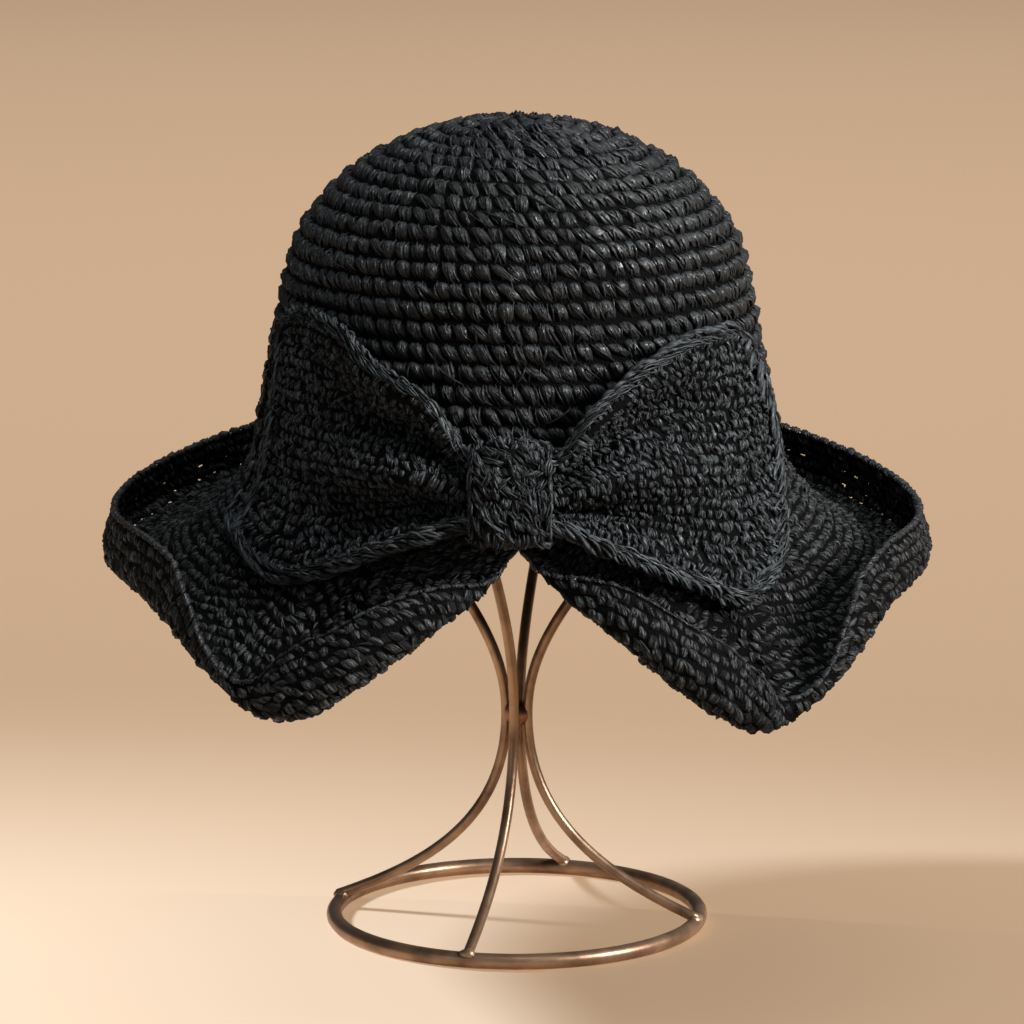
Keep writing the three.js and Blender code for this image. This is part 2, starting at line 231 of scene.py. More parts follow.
@dataclass(frozen=True)
class HatForm:
    """Outline of the hat that its pieces share."""

    top: float
    base: float
    dome_radius: float = 73.5
    dome_height: float = 54.5
    flare: float = 0.19
    wall: float = 3.0
    brim_drop: float = 1.0
    full_curl: float = 12.0
    wall_handle: float = 0.3
    fold_handle: float = 0.22
    fold_handle_limit: float = 16.0
    curl_handle: float = 0.75
    curl_handle_limit: float = 14.0
    lip_handle: float = 0.35
    lip_setback: float = 0.3
    back_reach: float = 90.0
    lowest: float = 90.0
    height_step: float = 0.5
    slope_steps: int = 40

    @property
    def base_radius(self) -> float:
        """Outer radius where the crown meets the brim."""
        return self.dome_radius + self.flare * (self.top - self.base)

    def crown_radius(self, z: np.ndarray) -> np.ndarray:
        """Outer radius of the crown.

        Args:
            z: heights.

        Returns:
            One radius for each height.
        """
        depth = self.top - np.asarray(z, float)
        share = np.clip(1 - depth / self.dome_height, 0, 1)
        return self.dome_radius * np.sqrt(1 - share * share) + self.flare * depth

    def crown_profile(self, count: int) -> np.ndarray:
        """Outline of the crown's outside, from the top down, at even steps.

        Args:
            count: how many points.

        Returns:
            Radius and height of each point.
        """
        turn = np.linspace(0, math.pi / 2, DOME_STEPS)
        dome = self.top - self.dome_height * (1 - np.cos(turn))
        z = np.concatenate([dome, np.linspace(dome[-1], self.base, WALL_STEPS)[1:]])
        return evenly(np.stack([self.crown_radius(z), z], -1), count)

    def brim_section(self, azimuth: float, slope_steps: int, curl_steps: int) -> np.ndarray:
        """Middle layer of the brim at an azimuth, from the crown to the free edge.

        Args:
            azimuth: in degrees from the back.
            slope_steps: steps down to the fold.
            curl_steps: steps from the fold to the free edge.

        Returns:
            Radius and height of each point.
        """
        side = np.array([abs(azimuth)])
        drop = "drop_left" if azimuth < 0 else "drop_right"
        reach, fall, rise, lean = (float(look_up(BRIM, c, side)[0]) for c in ("reach", drop, "rise", "lean"))
        start = np.array([self.base_radius - self.wall / 2, self.base - self.brim_drop])
        fold = np.array([reach, self.base - fall])
        edge = fold + (lean, rise)
        run = np.linalg.norm(fold - start)
        chord = np.linalg.norm(edge - fold)
        curl = min(max(rise / self.full_curl, 0), 1)
        wallway = unit(np.array([self.flare, -1.0]))
        foldway = unit(unit(fold - start) * (1 - curl) + np.array([curl, 0.0]))
        lipway = unit(np.array([min(lean * self.lip_setback, 0.0), 1.0]))
        edgeway = unit(unit(edge - fold) * (1 - curl) + lipway * curl)
        inward = min(run * self.fold_handle, self.fold_handle_limit)
        outward = min(chord * self.curl_handle, self.curl_handle_limit)
        first_handle = start + wallway * run * self.wall_handle
        slope = bezier(start, first_handle, fold - foldway * inward, fold, slope_steps)
        last_handle = edge - edgeway * chord * self.lip_handle
        turn = bezier(fold, fold + foldway * outward, last_handle, edge, curl_steps)
        return np.concatenate([slope, turn[1:]])

    def outer_radius(self, azimuth: np.ndarray, z: np.ndarray) -> np.ndarray:
        """Outer radius of the crown and the brim's slope, near the back.

        Args:
            azimuth: in degrees from the back.
            z: heights.

        Returns:
            One radius for each place.
        """
        spread = np.arange(-self.back_reach, self.back_reach + 1)
        heights = np.arange(self.lowest, self.base + 1, self.height_step)
        slopes = [self.brim_section(a, self.slope_steps, 2)[: self.slope_steps + 1] for a in spread]
        radius = np.array([np.interp(heights, s[::-1, 1], s[::-1, 0]) for s in slopes]) + self.wall / 2
        i = np.clip((azimuth - spread[0]), 0, len(spread) - INSIDE_GRID)
        j = np.clip((z - heights[0]) / self.height_step, 0, len(heights) - INSIDE_GRID)
        a, b = i.astype(int), j.astype(int)
        p, q = i - a, j - b
        low = radius[a, b] * (1 - q) + radius[a, b + 1] * q
        high = radius[a + 1, b] * (1 - q) + radius[a + 1, b + 1] * q
        return np.where(z >= self.base, self.crown_radius(np.minimum(z, self.top)), low * (1 - p) + high * p)


# Corners of a pinhole as shares of its cell along and across the sheet, and as weights on the cell's corners.
HOLE_SPAN = ((0.3, 0.24), (0.3, 0.76), (0.7, 0.76), (0.7, 0.24))
HOLE_CORNERS = np.array([((1 - s) * (1 - t), (1 - s) * t, s * t, s * (1 - t)) for s, t in HOLE_SPAN])


class Sheet:
    """A curved sheet given by a grid of points, read at fractions of a grid step."""

    def __init__(self, points: np.ndarray, wraps: bool) -> None:
        """Keeps the grid and works out its slopes and normals.

        Args:
            points: grid of points, rows by columns.
            wraps: whether the last row meets the first.
        """
        self.points = points
        self.wraps = wraps
        if wraps:
            self.along = (np.roll(points, -1, 0) - np.roll(points, 1, 0)) / 2
        else:
            self.along = np.gradient(points, axis=0)
        self.across = np.gradient(points, axis=1)
        self.normals = unit(np.cross(self.across, self.along))

    def read(self, grid: np.ndarray, u: np.ndarray, v: np.ndarray) -> np.ndarray:
        """Reads one of the sheet's grids between its points, and on in a straight line past its ends.

        Args:
            grid: one vector for each point of the sheet.
            u: grid places along the sheet.
            v: grid places across the sheet.

        Returns:
            One vector for each place.
        """
        rows, columns = grid.shape[:2]
        if self.wraps:
            u = np.mod(u, rows)
            i = np.floor(u).astype(int) % rows
            k = (i + 1) % rows
        else:
            i = np.clip(np.floor(u).astype(int), 0, rows - 2)
            k = i + 1
        j = np.clip(np.floor(v).astype(int), 0, columns - 2)
        p = (u - i)[..., None]
        q = (v - j)[..., None]
        near = grid[i, j] * (1 - q) + grid[i, j + 1] * q
        far = grid[k, j] * (1 - q) + grid[k, j + 1] * q
        return near * (1 - p) + far * p

    def shell(
        self, heights: tuple, steps: tuple, holes: np.ndarray | None = None
    ) -> tuple[np.ndarray, np.ndarray]:
        """Closed thin shell between two heights above the sheet.

        Args:
            heights: of the face below and the face above.
            steps: grid steps between its points along the sheet and across it.
            holes: which of its cells have a small opening, along the sheet by across it.

        Returns:
            Its points, and its four-sided faces.
        """
        low, high = heights
        rows, columns = self.points.shape[:2]
        pick_u = np.arange(0, rows, steps[0])
        pick_v = np.unique(np.append(np.arange(0, columns, steps[1]), columns - 1))
        if not self.wraps:
            pick_u = np.unique(np.append(pick_u, rows - 1))
        grid = np.ix_(pick_u, pick_v)
        points, normals = self.points[grid], self.normals[grid]
        n, m = len(pick_u), len(pick_v)
        shift = n * m
        front = np.arange(shift).reshape(n, m)
        back = front + shift
        ahead = np.roll(front, -1, 0) if self.wraps else front[1:]
        here = front if self.wraps else front[:-1]
        cells = np.stack([here[:, :-1], here[:, 1:], ahead[:, 1:], ahead[:, :-1]], -1)
        holes = np.zeros(cells.shape[:2], bool) if holes is None else holes
        top = cells[~holes]
        under = top[:, ::-1] + shift
        outer = cells[holes]
        inner = 2 * shift + np.arange(outer.size).reshape(-1, 4)
        below = inner + outer.size
        ways = ((outer, inner, False), (outer + shift, below, True), (inner, below, False))
        around = []
        for a, b, turned in ways:
            ring = np.stack([a, np.roll(a, -1, 1), np.roll(b, -1, 1), b], -1).reshape(-1, 4)
            around.append(ring[:, ::-1] if turned else ring)
        left = np.stack([here[:, 0], ahead[:, 0], ahead[:, 0] + shift, here[:, 0] + shift], -1)
        right = np.stack([here[:, -1], here[:, -1] + shift, ahead[:, -1] + shift, ahead[:, -1]], -1)
        faces = [top, under, left, right, *around]
        if not self.wraps:
            faces.append(np.stack([front[0, :-1], back[0, :-1], back[0, 1:], front[0, 1:]], -1))
            faces.append(np.stack([front[-1, :-1], front[-1, 1:], back[-1, 1:], back[-1, :-1]], -1))
        spots = np.concatenate([(points + normals * height).reshape(-1, 3) for height in (high, low)])
        mouths = [np.einsum("ij,kjc->kic", HOLE_CORNERS, spots[ring]) for ring in (outer, outer + shift)]
        return np.concatenate([spots, *(mouth.reshape(-1, 3) for mouth in mouths)]), np.concatenate(faces)

    def rim(self, side: "Side", radius: float, columns: int = 13, reach: float = 115.0) -> "Sheet":
        """A half-round sheet that wraps one edge of this one.

        Args:
            side: which edge.
            radius: of the half round.
            columns: grid steps round the edge.
            reach: how far it goes round to each face, in degrees.

        Returns:
            The new sheet, whose first grid direction runs along the edge.
        """
        column = {Side.FIRST_COLUMN: 0, Side.LAST_COLUMN: -1}.get(side)
        row = {Side.FIRST_ROW: 0, Side.LAST_ROW: -1}.get(side)
        pick = (slice(None), column) if column is not None else (row, slice(None))
        away = self.across[pick] if column is not None else self.along[pick]
        away = unit(away) * (1.0 if side in (Side.LAST_COLUMN, Side.LAST_ROW) else -1.0)
        angle = np.radians(np.linspace(-reach, reach, columns))[None, :, None]
        normal = self.normals[pick]
        half_round = away[:, None] * np.cos(angle) + normal[:, None] * np.sin(angle)
        grid = self.points[pick][:, None] + radius * half_round
        made = Sheet(grid, self.wraps and column is not None)
        if (made.normals[:, columns // 2] * away).sum() < 0:
            made = Sheet(grid[:, ::-1], made.wraps)
        return made

    def lay(self, seats: "Seats", local: tuple, face: "Face") -> np.ndarray:
        """Bends local points onto the sheet.

        Args:
            seats: where each group of points belongs.
            local: place along the row, place up the row and height, each by seat and any further axes.
            face: the sheet's face that heights are counted from.

        Returns:
            The bent points.
        """
        x, y, z = local
        normal = unit(self.read(self.normals, seats.u, seats.v)) * face.value
        along = self.read(self.along, seats.u, seats.v)
        across = self.read(self.across, seats.u, seats.v)
        way = unit(seats.way - normal * (seats.way * normal).sum(-1, keepdims=True))
        turned = np.cross(normal, way)
        flip = np.where((turned * seats.up).sum(-1, keepdims=True) < 0, -1.0, 1.0)
        way, turned = way * flip, turned * flip
        g11, g22, g12 = ((a * b).sum(-1) for a, b in ((along, along), (across, across), (along, across)))
        det = np.maximum(g11 * g22 - g12 * g12, TINY_AREA)
        dual_u = (along * g22[:, None] - across * g12[:, None]) / det[:, None]
        dual_v = (across * g11[:, None] - along * g12[:, None]) / det[:, None]
        wide = (slice(None),) + (None,) * (x.ndim - 1)
        u = seats.u[wide] + x * (way * dual_u).sum(-1)[wide] + y * (turned * dual_u).sum(-1)[wide]
        v = seats.v[wide] + x * (way * dual_v).sum(-1)[wide] + y * (turned * dual_v).sum(-1)[wide]
        lift = unit(self.read(self.normals, u, v)) * (z * face.value)[..., None]
        return self.read(self.points, u, v) + lift


@dataclass
class Seats:
    """Where stitches sit on a sheet: grid places, the way along the row, the way up, sizes and lean."""

    u: np.ndarray
    v: np.ndarray
    way: np.ndarray
    up: np.ndarray
    width: np.ndarray
    pitch: np.ndarray
    height: np.ndarray
    sway: np.ndarray

    @staticmethod
    def joined(parts: list["Seats"]) -> "Seats":
        """All seats of several rows as one set."""
        names = [item.name for item in fields(Seats)]
        return Seats(*(np.concatenate([getattr(part, name) for part in parts]) for name in names))

    def picked(self, chosen: np.ndarray) -> "Seats":
        """Some of the seats."""
        return Seats(*(getattr(self, item.name)[chosen] for item in fields(Seats)))


@dataclass(frozen=True)
class Spread:
    """How a measure differs from stitch to stitch: its mean, its spread and its limits."""

    mean: float
    width: float
    low: float = -math.inf
    high: float = math.inf

    def draw(self, rng: np.random.Generator, count: int) -> np.ndarray:
        """One value for each stitch."""
        return rng.normal(self.mean, self.width, count).clip(self.low, self.high)


@dataclass(frozen=True)
class Puff:
    """A plump stitch: round at its upper end, with fibres that lean and run to a point below.

    Lengths are shares of the stitch's width, pitch and height.
    """

    columns: int = 9
    lean: float = 0.56
    top: float = 0.45
    bottom: float = -0.55
    ridge: float = 0.13
    ragged: float = 0.1
    rough: float = 0.08
    down: tuple = (0.0, 0.1, 0.3, 0.56, 0.8, 1.0)
    half_width: tuple = (0.28, 0.43, 0.49, 0.45, 0.33, 0.15)
    swell: tuple = (0.0, 0.66, 1.0, 0.9, 0.5, 0.0)
    lean_spread: float = 0.3
    width_spread: float = 0.08
    side_spread: float = 0.05
    level_spread: float = 0.03
    height_spread: float = 0.08
    shoulder_drop: float = 0.1
    fibre_shift: float = 0.5
    flank_power: float = 2.4
    flank_round: float = 0.62
    # Painted light in each point's tone: painted shade at the stitch's edges, in its fibre grooves and on its
    # sunken lumps, painted highlights on its swell, its fibre ridges and its raised lumps; the spread varies
    # at random.
    shaded_tone: float = 0.04
    swell_highlight: float = 0.62
    relief_shading: float = 2.1
    tone_spread: float = 0.16
    lump_shading: float = 0.15

    def form(self, rng: np.random.Generator, count: int, sway: np.ndarray) -> tuple[np.ndarray, ...]:
        """Points of a number of stitches.

        Args:
            rng: source of the small differences between stitches.
            count: how many stitches.
            sway: which way each stitch leans.

        Returns:
            Place along the row, place up the row, height, and how light each point is painted, with painted
            shade at edges and grooves and painted highlights on crests, by stitch, column and row of points.
        """
        t = np.array(self.down)[None, None, :]
        half = np.array(self.half_width)[None, None, :]
        swell = np.array(self.swell)[None, None, :]
        c = np.linspace(-1, 1, self.columns)[None, :, None]
        vary = rng.normal(0, 1, (5, count, 1, 1))
        fibre = rng.normal(0, 1, (count, self.columns, 1))
        comb = np.where(np.arange(self.columns) % 2 == 0, -1.0, 1.0)[None, :, None]
        lean = self.lean * sway[:, None, None] * (1 + self.lean_spread * vary[0])
        x = leaning(lean, t) + c * half * (1 + self.width_spread * vary[1]) + self.side_spread * vary[2]
        y = self.top + (self.bottom - self.top) * t
        y = y - self.shoulder_drop * c * c * (1 - t) ** 2 + self.level_spread * vary[3]
        x = x + self.ragged * self.fibre_shift * fibre * (1 - c * c) * np.sin(math.pi * t)
        crown = np.maximum(1 - np.abs(c) ** self.flank_power, 0) ** self.flank_round
        relief = self.ridge * comb + self.ragged * fibre
        lumps = rng.normal(0, 1, (count, self.columns, len(self.down)))
        z = swell * crown * (1 + relief + self.rough * lumps) * (1 + self.height_spread * vary[4])
        # Painted light: lighter on the swell, the fibre ridges and the raised lumps, darker at the edges and
        # in the grooves between fibres.
        painted_light = self.shaded_tone + self.swell_highlight * swell * crown + self.relief_shading * relief * crown
        tone = painted_light + rng.normal(0, self.tone_spread, (count, 1, 1)) + self.lump_shading * lumps
        return tuple(np.broadcast_arrays(x, y, z, tone))


class Strand(NamedTuple):
    """Middle lines of strands, half widths, thicknesses and how light they are painted, with painted shade at
    their ends and painted highlights where they rise, each by stitch, strand and ring.
    """

    x: np.ndarray
    y: np.ndarray
    z: np.ndarray
    half: np.ndarray
    thick: np.ndarray
    tone: np.ndarray


@dataclass(frozen=True)
class Fan:
    """Loose strands of one stitch, side by side, in shares of its width, pitch and height."""

    strands: int = 3
    rings: int = 4
    lean: float = 0.46
    spread_top: float = 0.66
    spread_bottom: float = 0.3
    top: float = 0.45
    bottom: float = -0.54
    strand_width: float = 0.17
    strand_thickness: float = 0.1
    wobble: float = 0.07
    unruly: float = 0.3
    stagger: float = 0.05
    lift: float = 0.05
    roundness: float = 0.35
    ends: tuple = (0.03, 0.97)
    swell_skew: float = 0.8
    swell_power: float = 0.7
    bend: float = 1.6
    bow: float = 0.05
    height_spread: float = 0.09
    body_tip: float = 0.3
    body_middle: float = 0.8
    body_start: float = 0.08
    body_length: float = 0.84
    body_spread: float = 0.15
    # Painted light in the strands' tone: painted shade at their tucked ends, painted highlights where they
    # rise; the stitch and strand spreads vary at random.
    shaded_tone: float = 0.05
    swell_highlight: float = 0.45
    tone_stitch: float = 0.1
    tone_strand: float = 0.16

    def lines(self, rng: np.random.Generator, count: int, sway: np.ndarray) -> Strand:
        """Strands of a number of stitches.

        Args:
            rng: source of the small differences between strands.
            count: how many stitches.
            sway: which way each stitch leans.

        Returns:
            The strands' lines.
        """
        t = np.linspace(*self.ends, self.rings)[None, None, :]
        fan = np.linspace(-1, 1, self.strands)[None, :, None] if self.strands > 1 else np.zeros((1, 1, 1))
        jitter = rng.normal(0, 1, (6, count, self.strands, 1))
        unruly = 1 + self.unruly * rng.normal(0, 1, (count, self.strands, 1))
        lean = self.lean * sway[:, None, None] * unruly
        spread = self.spread_top * (1 - t) + self.spread_bottom * t
        swell = np.sin(math.pi * t**self.swell_skew) ** self.swell_power
        x = leaning(lean, t) + 0.5 * fan * spread
        bend = self.bend * jitter[1] * (t - 0.5)
        x = x + self.wobble * (jitter[0] + bend) + self.bow * jitter[2] * np.sin(math.pi * t)
        y = self.top + (self.bottom - self.top) * t + self.stagger * jitter[3]
        z = swell * (1 - self.roundness * fan * fan) * (1 + self.height_spread * jitter[4]) + self.lift
        girth = self.body_tip + self.body_middle * np.sin(math.pi * (self.body_start + self.body_length * t))
        body = girth * (1 + self.body_spread * jitter[5])
        # Painted light: lighter where the strand rises, darker at its ends.
        shade = self.shaded_tone + self.swell_highlight * swell
        tone = shade + self.tone_stitch * rng.normal(0, 1, (count, 1, 1)) + self.tone_strand * jitter[5]
        return Strand(x, y, z, 0.5 * self.strand_width * body, self.strand_thickness * body, tone)


@dataclass(frozen=True)
class Braid:
    """Strands that part from a point and close on the next link, as along a crocheted edge."""

    strands: int = 5
    rings: int = 6
    reach: float = 0.95
    part: float = 0.4
    twist: float = 0.32
    loose: float = 0.16
    strand_width: float = 0.2
    strand_thickness: float = 0.17
    slip: float = 0.16
    part_power: float = 0.8
    arch_power: float = 0.6
    height_spread: float = 0.3
    side_drop: float = 0.3
    body_tip: float = 0.45
    body_middle: float = 0.65
    body_spread: float = 0.16
    # Painted light in the links' tone: painted highlights on the top of each arch, painted shade at its ends;
    # the spread varies at random.
    shaded_tone: float = 0.15
    arch_highlight: float = 0.4
    tone_spread: float = 0.16

    def lines(self, rng: np.random.Generator, count: int, sway: np.ndarray) -> Strand:
        """Strands of a number of links.

        Args:
            rng: source of the small differences between strands.
            count: how many links.
            sway: which way each link points.

        Returns:
            The strands' lines.
        """
        t = np.linspace(0, 1, self.rings)[None, None, :]
        jitter = rng.normal(0, 1, (4, count, self.strands, 1))
        side = np.linspace(-1, 1, self.strands)[None, :, None]
        x = (self.reach * (2 * t - 1) + self.slip * jitter[0]) * sway[:, None, None]
        arch = np.sin(math.pi * t)
        y = side * self.part * arch**self.part_power + self.twist * (1 - 2 * t) + self.loose * jitter[1]
        z = arch**self.arch_power * (1 + self.height_spread * jitter[2]) * (1 - self.side_drop * side * side)
        body = (self.body_tip + self.body_middle * arch) * (1 + self.body_spread * jitter[3])
        # Painted light: lighter on the arch's top, darker at its ends.
        tone = self.shaded_tone + self.arch_highlight * arch + self.tone_spread * jitter[3]
        return Strand(x, y, z, 0.5 * self.strand_width * body, self.strand_thickness * body, tone)


@dataclass
class Patch:
    """Faces of one kind: their corners, their cell in the bake map and the corners' places in it."""

    corners: np.ndarray
    cells: np.ndarray
    spots: np.ndarray


# Section of a strand in shares of its half width and its thickness, and how much lighter its ridge is
# painted: a painted highlight along the ridge, painted shade at its two edges.
SECTION = ((-1.0, -0.35), (0.0, 1.0), (1.0, -0.35))
RIDGE_HIGHLIGHT = (-0.05, 0.35, -0.05)
# Places in one cell of the bake map: a strand's sides unrolled, a stitch's face and back, a strand's ends.
UNROLLED = (0.02, 0.36, 0.7, 0.98)
CELL_FACE = (0.03, 0.84)
CELL_BACK = (0.88, 0.97)
CELL_WIDTH = 0.97
END_SPOT = ((0.02, 0.9), (0.5, 0.97), (0.98, 0.9))


class StitchMesh:
    """Collects stitches of one piece and writes them as one mesh."""

    def __init__(self, rng: np.random.Generator) -> None:
        """Starts empty.

        Args:
            rng: source of the small differences between stitches.
        """
        self.rng = rng
        self.points: list[np.ndarray] = []
        self.patches: list[Patch] = []
        self.grain: list[np.ndarray] = []
        self.tone: list[np.ndarray] = []
        self.count = 0
        self.cells = 0

    def _keep(self, points: np.ndarray, grain: np.ndarray, tone: np.ndarray) -> None:
        """Keeps some points.

        Args:
            points: of the mesh.
            grain: their places across and along the fibre, and the fibre's own number.
            tone: how light they are.
        """
        self.points.append(points.reshape(-1, 3))
        self.grain.append(grain.reshape(-1, 3))
        self.tone.append(np.broadcast_to(tone, points.shape[:-1]).reshape(-1))
        self.count += points.size // 3

    def add_puffs(self, sheet: Sheet, seats: Seats, kind: Puff, face: Face, floor: float) -> None:
        """Lays one plump stitch on each seat of a sheet.

        Args:
            sheet: what carries the stitches.
            seats: where they sit.
            kind: how a stitch is shaped.
            face: the sheet's face that they are on.
            floor: height of their edges above the sheet's middle.
        """
        count = len(seats.u)
        x, y, z, tone = kind.form(self.rng, count, seats.sway)
        width, pitch, height = (a[:, None, None] for a in (seats.width, seats.pitch, seats.height))
        spots = sheet.lay(seats, (x * width, y * pitch, floor + z * height), face)
        columns, rows = x.shape[1:]
        index = self.count + np.arange(spots.size // 3).reshape(count, columns, rows)
        cells = self.cells + np.arange(count)
        c = np.linspace(*CELL_FACE, columns)[:, None] + np.zeros((1, rows))
        r = np.linspace(*CELL_FACE, rows)[None, :] + np.zeros((columns, 1))
        place = np.stack([c / CELL_FACE[1] * CELL_WIDTH, r], -1)
        turn = ((0, 0), (0, 1), (1, 1), (1, 0))
        cut = [(slice(a, columns - 1 + a), slice(b, rows - 1 + b)) for a, b in turn]
        quads = np.stack([index[(slice(None),) + k] for k in cut], -1).reshape(-1, 4)
        quad_spots = np.stack([place[k] for k in cut], -2).reshape(-1, 4, 2)
        owners = np.repeat(cells, len(quad_spots))
        self.patches.append(Patch(quads, owners, np.tile(quad_spots, (count, 1, 1))))
        loop = [(0, j) for j in range(rows)] + [(i, rows - 1) for i in range(1, columns)]
        loop += [(columns - 1, j) for j in range(rows - 2, -1, -1)]
        loop += [(i, 0) for i in range(columns - 2, 0, -1)]
        backs = np.stack([index[:, i, j] for i, j in reversed(loop)], -1)
        flat = np.array([(place[i, j, 0], place[i, j, 1]) for i, j in reversed(loop)])
        low, high = CELL_BACK
        flat[:, 1] = low + (high - low) * (flat[:, 1] - CELL_FACE[0]) / (CELL_FACE[1] - CELL_FACE[0])
        self.patches.append(Patch(backs, cells, np.tile(flat, (count, 1, 1))))
        self.cells += count
        across = np.linspace(-0.5, 0.5, columns)[None, :, None] * width + 0 * y
        seed = self.rng.uniform(0, GRAIN_SEEDS, (count, 1, 1)) + 0 * y
        grain = np.stack([across, -y * pitch, seed], -1)
        self._keep(spots, grain, tone)

    def add_strands(self, sheet: Sheet, seats: Seats, kind: Fan | Braid, face: Face, floor: float) -> None:
        """Lays the strands of one stitch or link on each seat of a sheet.

        Args:
            sheet: what carries the strands.
            seats: where the stitches or links sit.
            kind: how one is made.
            face: the sheet's face that they are on.
            floor: height of the strands' ends above the sheet's middle.
        """
        count = len(seats.u)
        strand = kind.lines(self.rng, count, seats.sway)
        width, pitch, height = (a[:, None, None] for a in (seats.width, seats.pitch, seats.height))
        x, y, z = np.broadcast_arrays(strand.x * width, strand.y * pitch, strand.z * height)
        half, thick = strand.half * pitch, strand.thick * pitch
        tangent = unit(np.stack([np.gradient(x, axis=2), np.gradient(y, axis=2)], -1))
        side_x, side_y = -tangent[..., 1], tangent[..., 0]
        ring = [(x + side_x * half * a, y + side_y * half * a, floor + z + thick * b) for a, b in SECTION]
        spots = sheet.lay(seats, tuple(np.stack([r[k] for r in ring], -1) for k in range(3)), face)
        strands, rings, sides = spots.shape[1:4]
        tubes = count * strands
        first = self.count + np.arange(tubes)[:, None, None] * rings * sides
        r = np.arange(rings - 1)[None, :, None]
        m = np.arange(sides)[None, None, :]
        n = (m + 1) % sides
        here, there = first + r * sides, first + (r + 1) * sides
        quads = np.stack([here + m, there + m, there + n, here + n], -1).reshape(-1, 4)
        cells = self.cells + np.arange(tubes)
        level = np.linspace(*CELL_FACE, rings)
        low = np.array(UNROLLED)[m[0]]
        high = np.array(UNROLLED)[m[0] + 1]
        a, b = level[:-1][:, None], level[1:][:, None]
        corner = [np.broadcast_arrays(p, q) for p, q in ((low, a), (low, b), (high, b), (high, a))]
        spot = np.stack([np.stack(k, -1) for k in corner], -2).reshape(-1, 4, 2)
        self.patches.append(Patch(quads, np.repeat(cells, len(spot)), np.tile(spot, (tubes, 1, 1))))
        start = first[:, 0]
        last = start + (rings - 1) * sides
        ends = np.concatenate([start + (0, 1, 2), last + (0, 2, 1)])
        self.patches.append(Patch(ends, np.tile(cells, 2), np.tile(np.array(END_SPOT), (2 * tubes, 1, 1))))
        self.cells += tubes
        across = half[..., None] * np.array([-1.0, 0.0, 1.0])
        seed = self.rng.uniform(0, GRAIN_SEEDS, (count, strands, 1, 1)) + 0 * across
        lengthwise = np.linspace(0, 1, rings)[None, None, :, None] * pitch[..., None] + 0 * across
        # Painted highlight along each strand's ridge and painted shade at its edges, on top of the strand's
        # own painted light.
        tone = (strand.tone[..., None] + np.array(RIDGE_HIGHLIGHT)) + 0 * across
        self._keep(spots, np.stack([across, lengthwise, seed], -1), tone)

    def write(self, name: str, finish: "Finish") -> bpy.types.Object:
        """Writes the collected mesh as an object and dresses it.

        Args:
            name: the piece's name.
            finish: its material.

        Returns:
            The new object, smooth shaded.
        """
        mesh = new_mesh(name, np.concatenate(self.points) * MM, [patch.corners for patch in self.patches])
        grain = mesh.attributes.new("grain", "FLOAT_VECTOR", "POINT")
        grain.data.foreach_set("vector", np.concatenate(self.grain).astype(np.float32).ravel())
        # This attribute carries random tone and painted light: painted shade in grooves and at edges, painted
        # highlights on crests and ridges.
        tone = mesh.attributes.new("tone", "FLOAT", "POINT")
        tone.data.foreach_set("value", np.concatenate(self.tone).astype(np.float32))
        side = math.ceil(math.sqrt(self.cells))
        places = []
        for patch in self.patches:
            cell = np.stack([patch.cells % side, patch.cells // side], -1)[:, None]
            places.append(((cell + patch.spots) / side).reshape(-1))
        layer = mesh.uv_layers.new(name="OFBake")
        layer.data.foreach_set("uv", np.concatenate(places).astype(np.float32))
        return new_object(name, mesh, finish)


def write_shell(name: str, parts: tuple[np.ndarray, np.ndarray], finish: "Finish") -> bpy.types.Object:
    """Writes a shell as an object, with its grain along its own points.

    Args:
        name: the piece's name.
        parts: the shell's points and faces.
        finish: its material.

    Returns:
        The new object.
    """
    mesh = new_mesh(name, parts[0] * MM, [parts[1]])
    grain = mesh.attributes.new("grain", "FLOAT_VECTOR", "POINT")
    grain.data.foreach_set("vector", parts[0].astype(np.float32).ravel())
    return new_object(name, mesh, finish)


def new_mesh(name: str, points: np.ndarray, faces: list[np.ndarray]) -> bpy.types.Mesh:
    """A smooth mesh from arrays.

    Args:
        name: the mesh's name.
        points: its points, in metres.
        faces: arrays of faces, each with its own number of corners.

    Returns:
        The mesh.
    """
    mesh = bpy.data.meshes.new(name)
    corners = np.concatenate([part.ravel() for part in faces]).astype(np.int32)
    sizes = np.concatenate([np.full(len(part), part.shape[1]) for part in faces])
    starts = np.concatenate([[0], np.cumsum(sizes)[:-1]]).astype(np.int32)
    mesh.vertices.add(len(points))
    mesh.vertices.foreach_set("co", points.astype(np.float32).ravel())
    mesh.loops.add(len(corners))
    mesh.loops.foreach_set("vertex_index", corners)
    mesh.polygons.add(len(sizes))
    mesh.polygons.foreach_set("loop_start", starts)
    mesh.polygons.foreach_set("use_smooth", np.ones(len(sizes), bool))
    mesh.update(calc_edges=True)
    return mesh


def new_object(name: str, mesh: bpy.types.Mesh, finish: "Finish") -> bpy.types.Object:
    """Puts a mesh into the scene and dresses it.

    Args:
        name: the object's name.
        mesh: its mesh.
        finish: its material.

    Returns:
        The new object.
    """
    piece = bpy.data.objects.new(name, mesh)
    bpy.context.scene.collection.objects.link(piece)
    piece.data.materials.append(finish.material())
    return piece


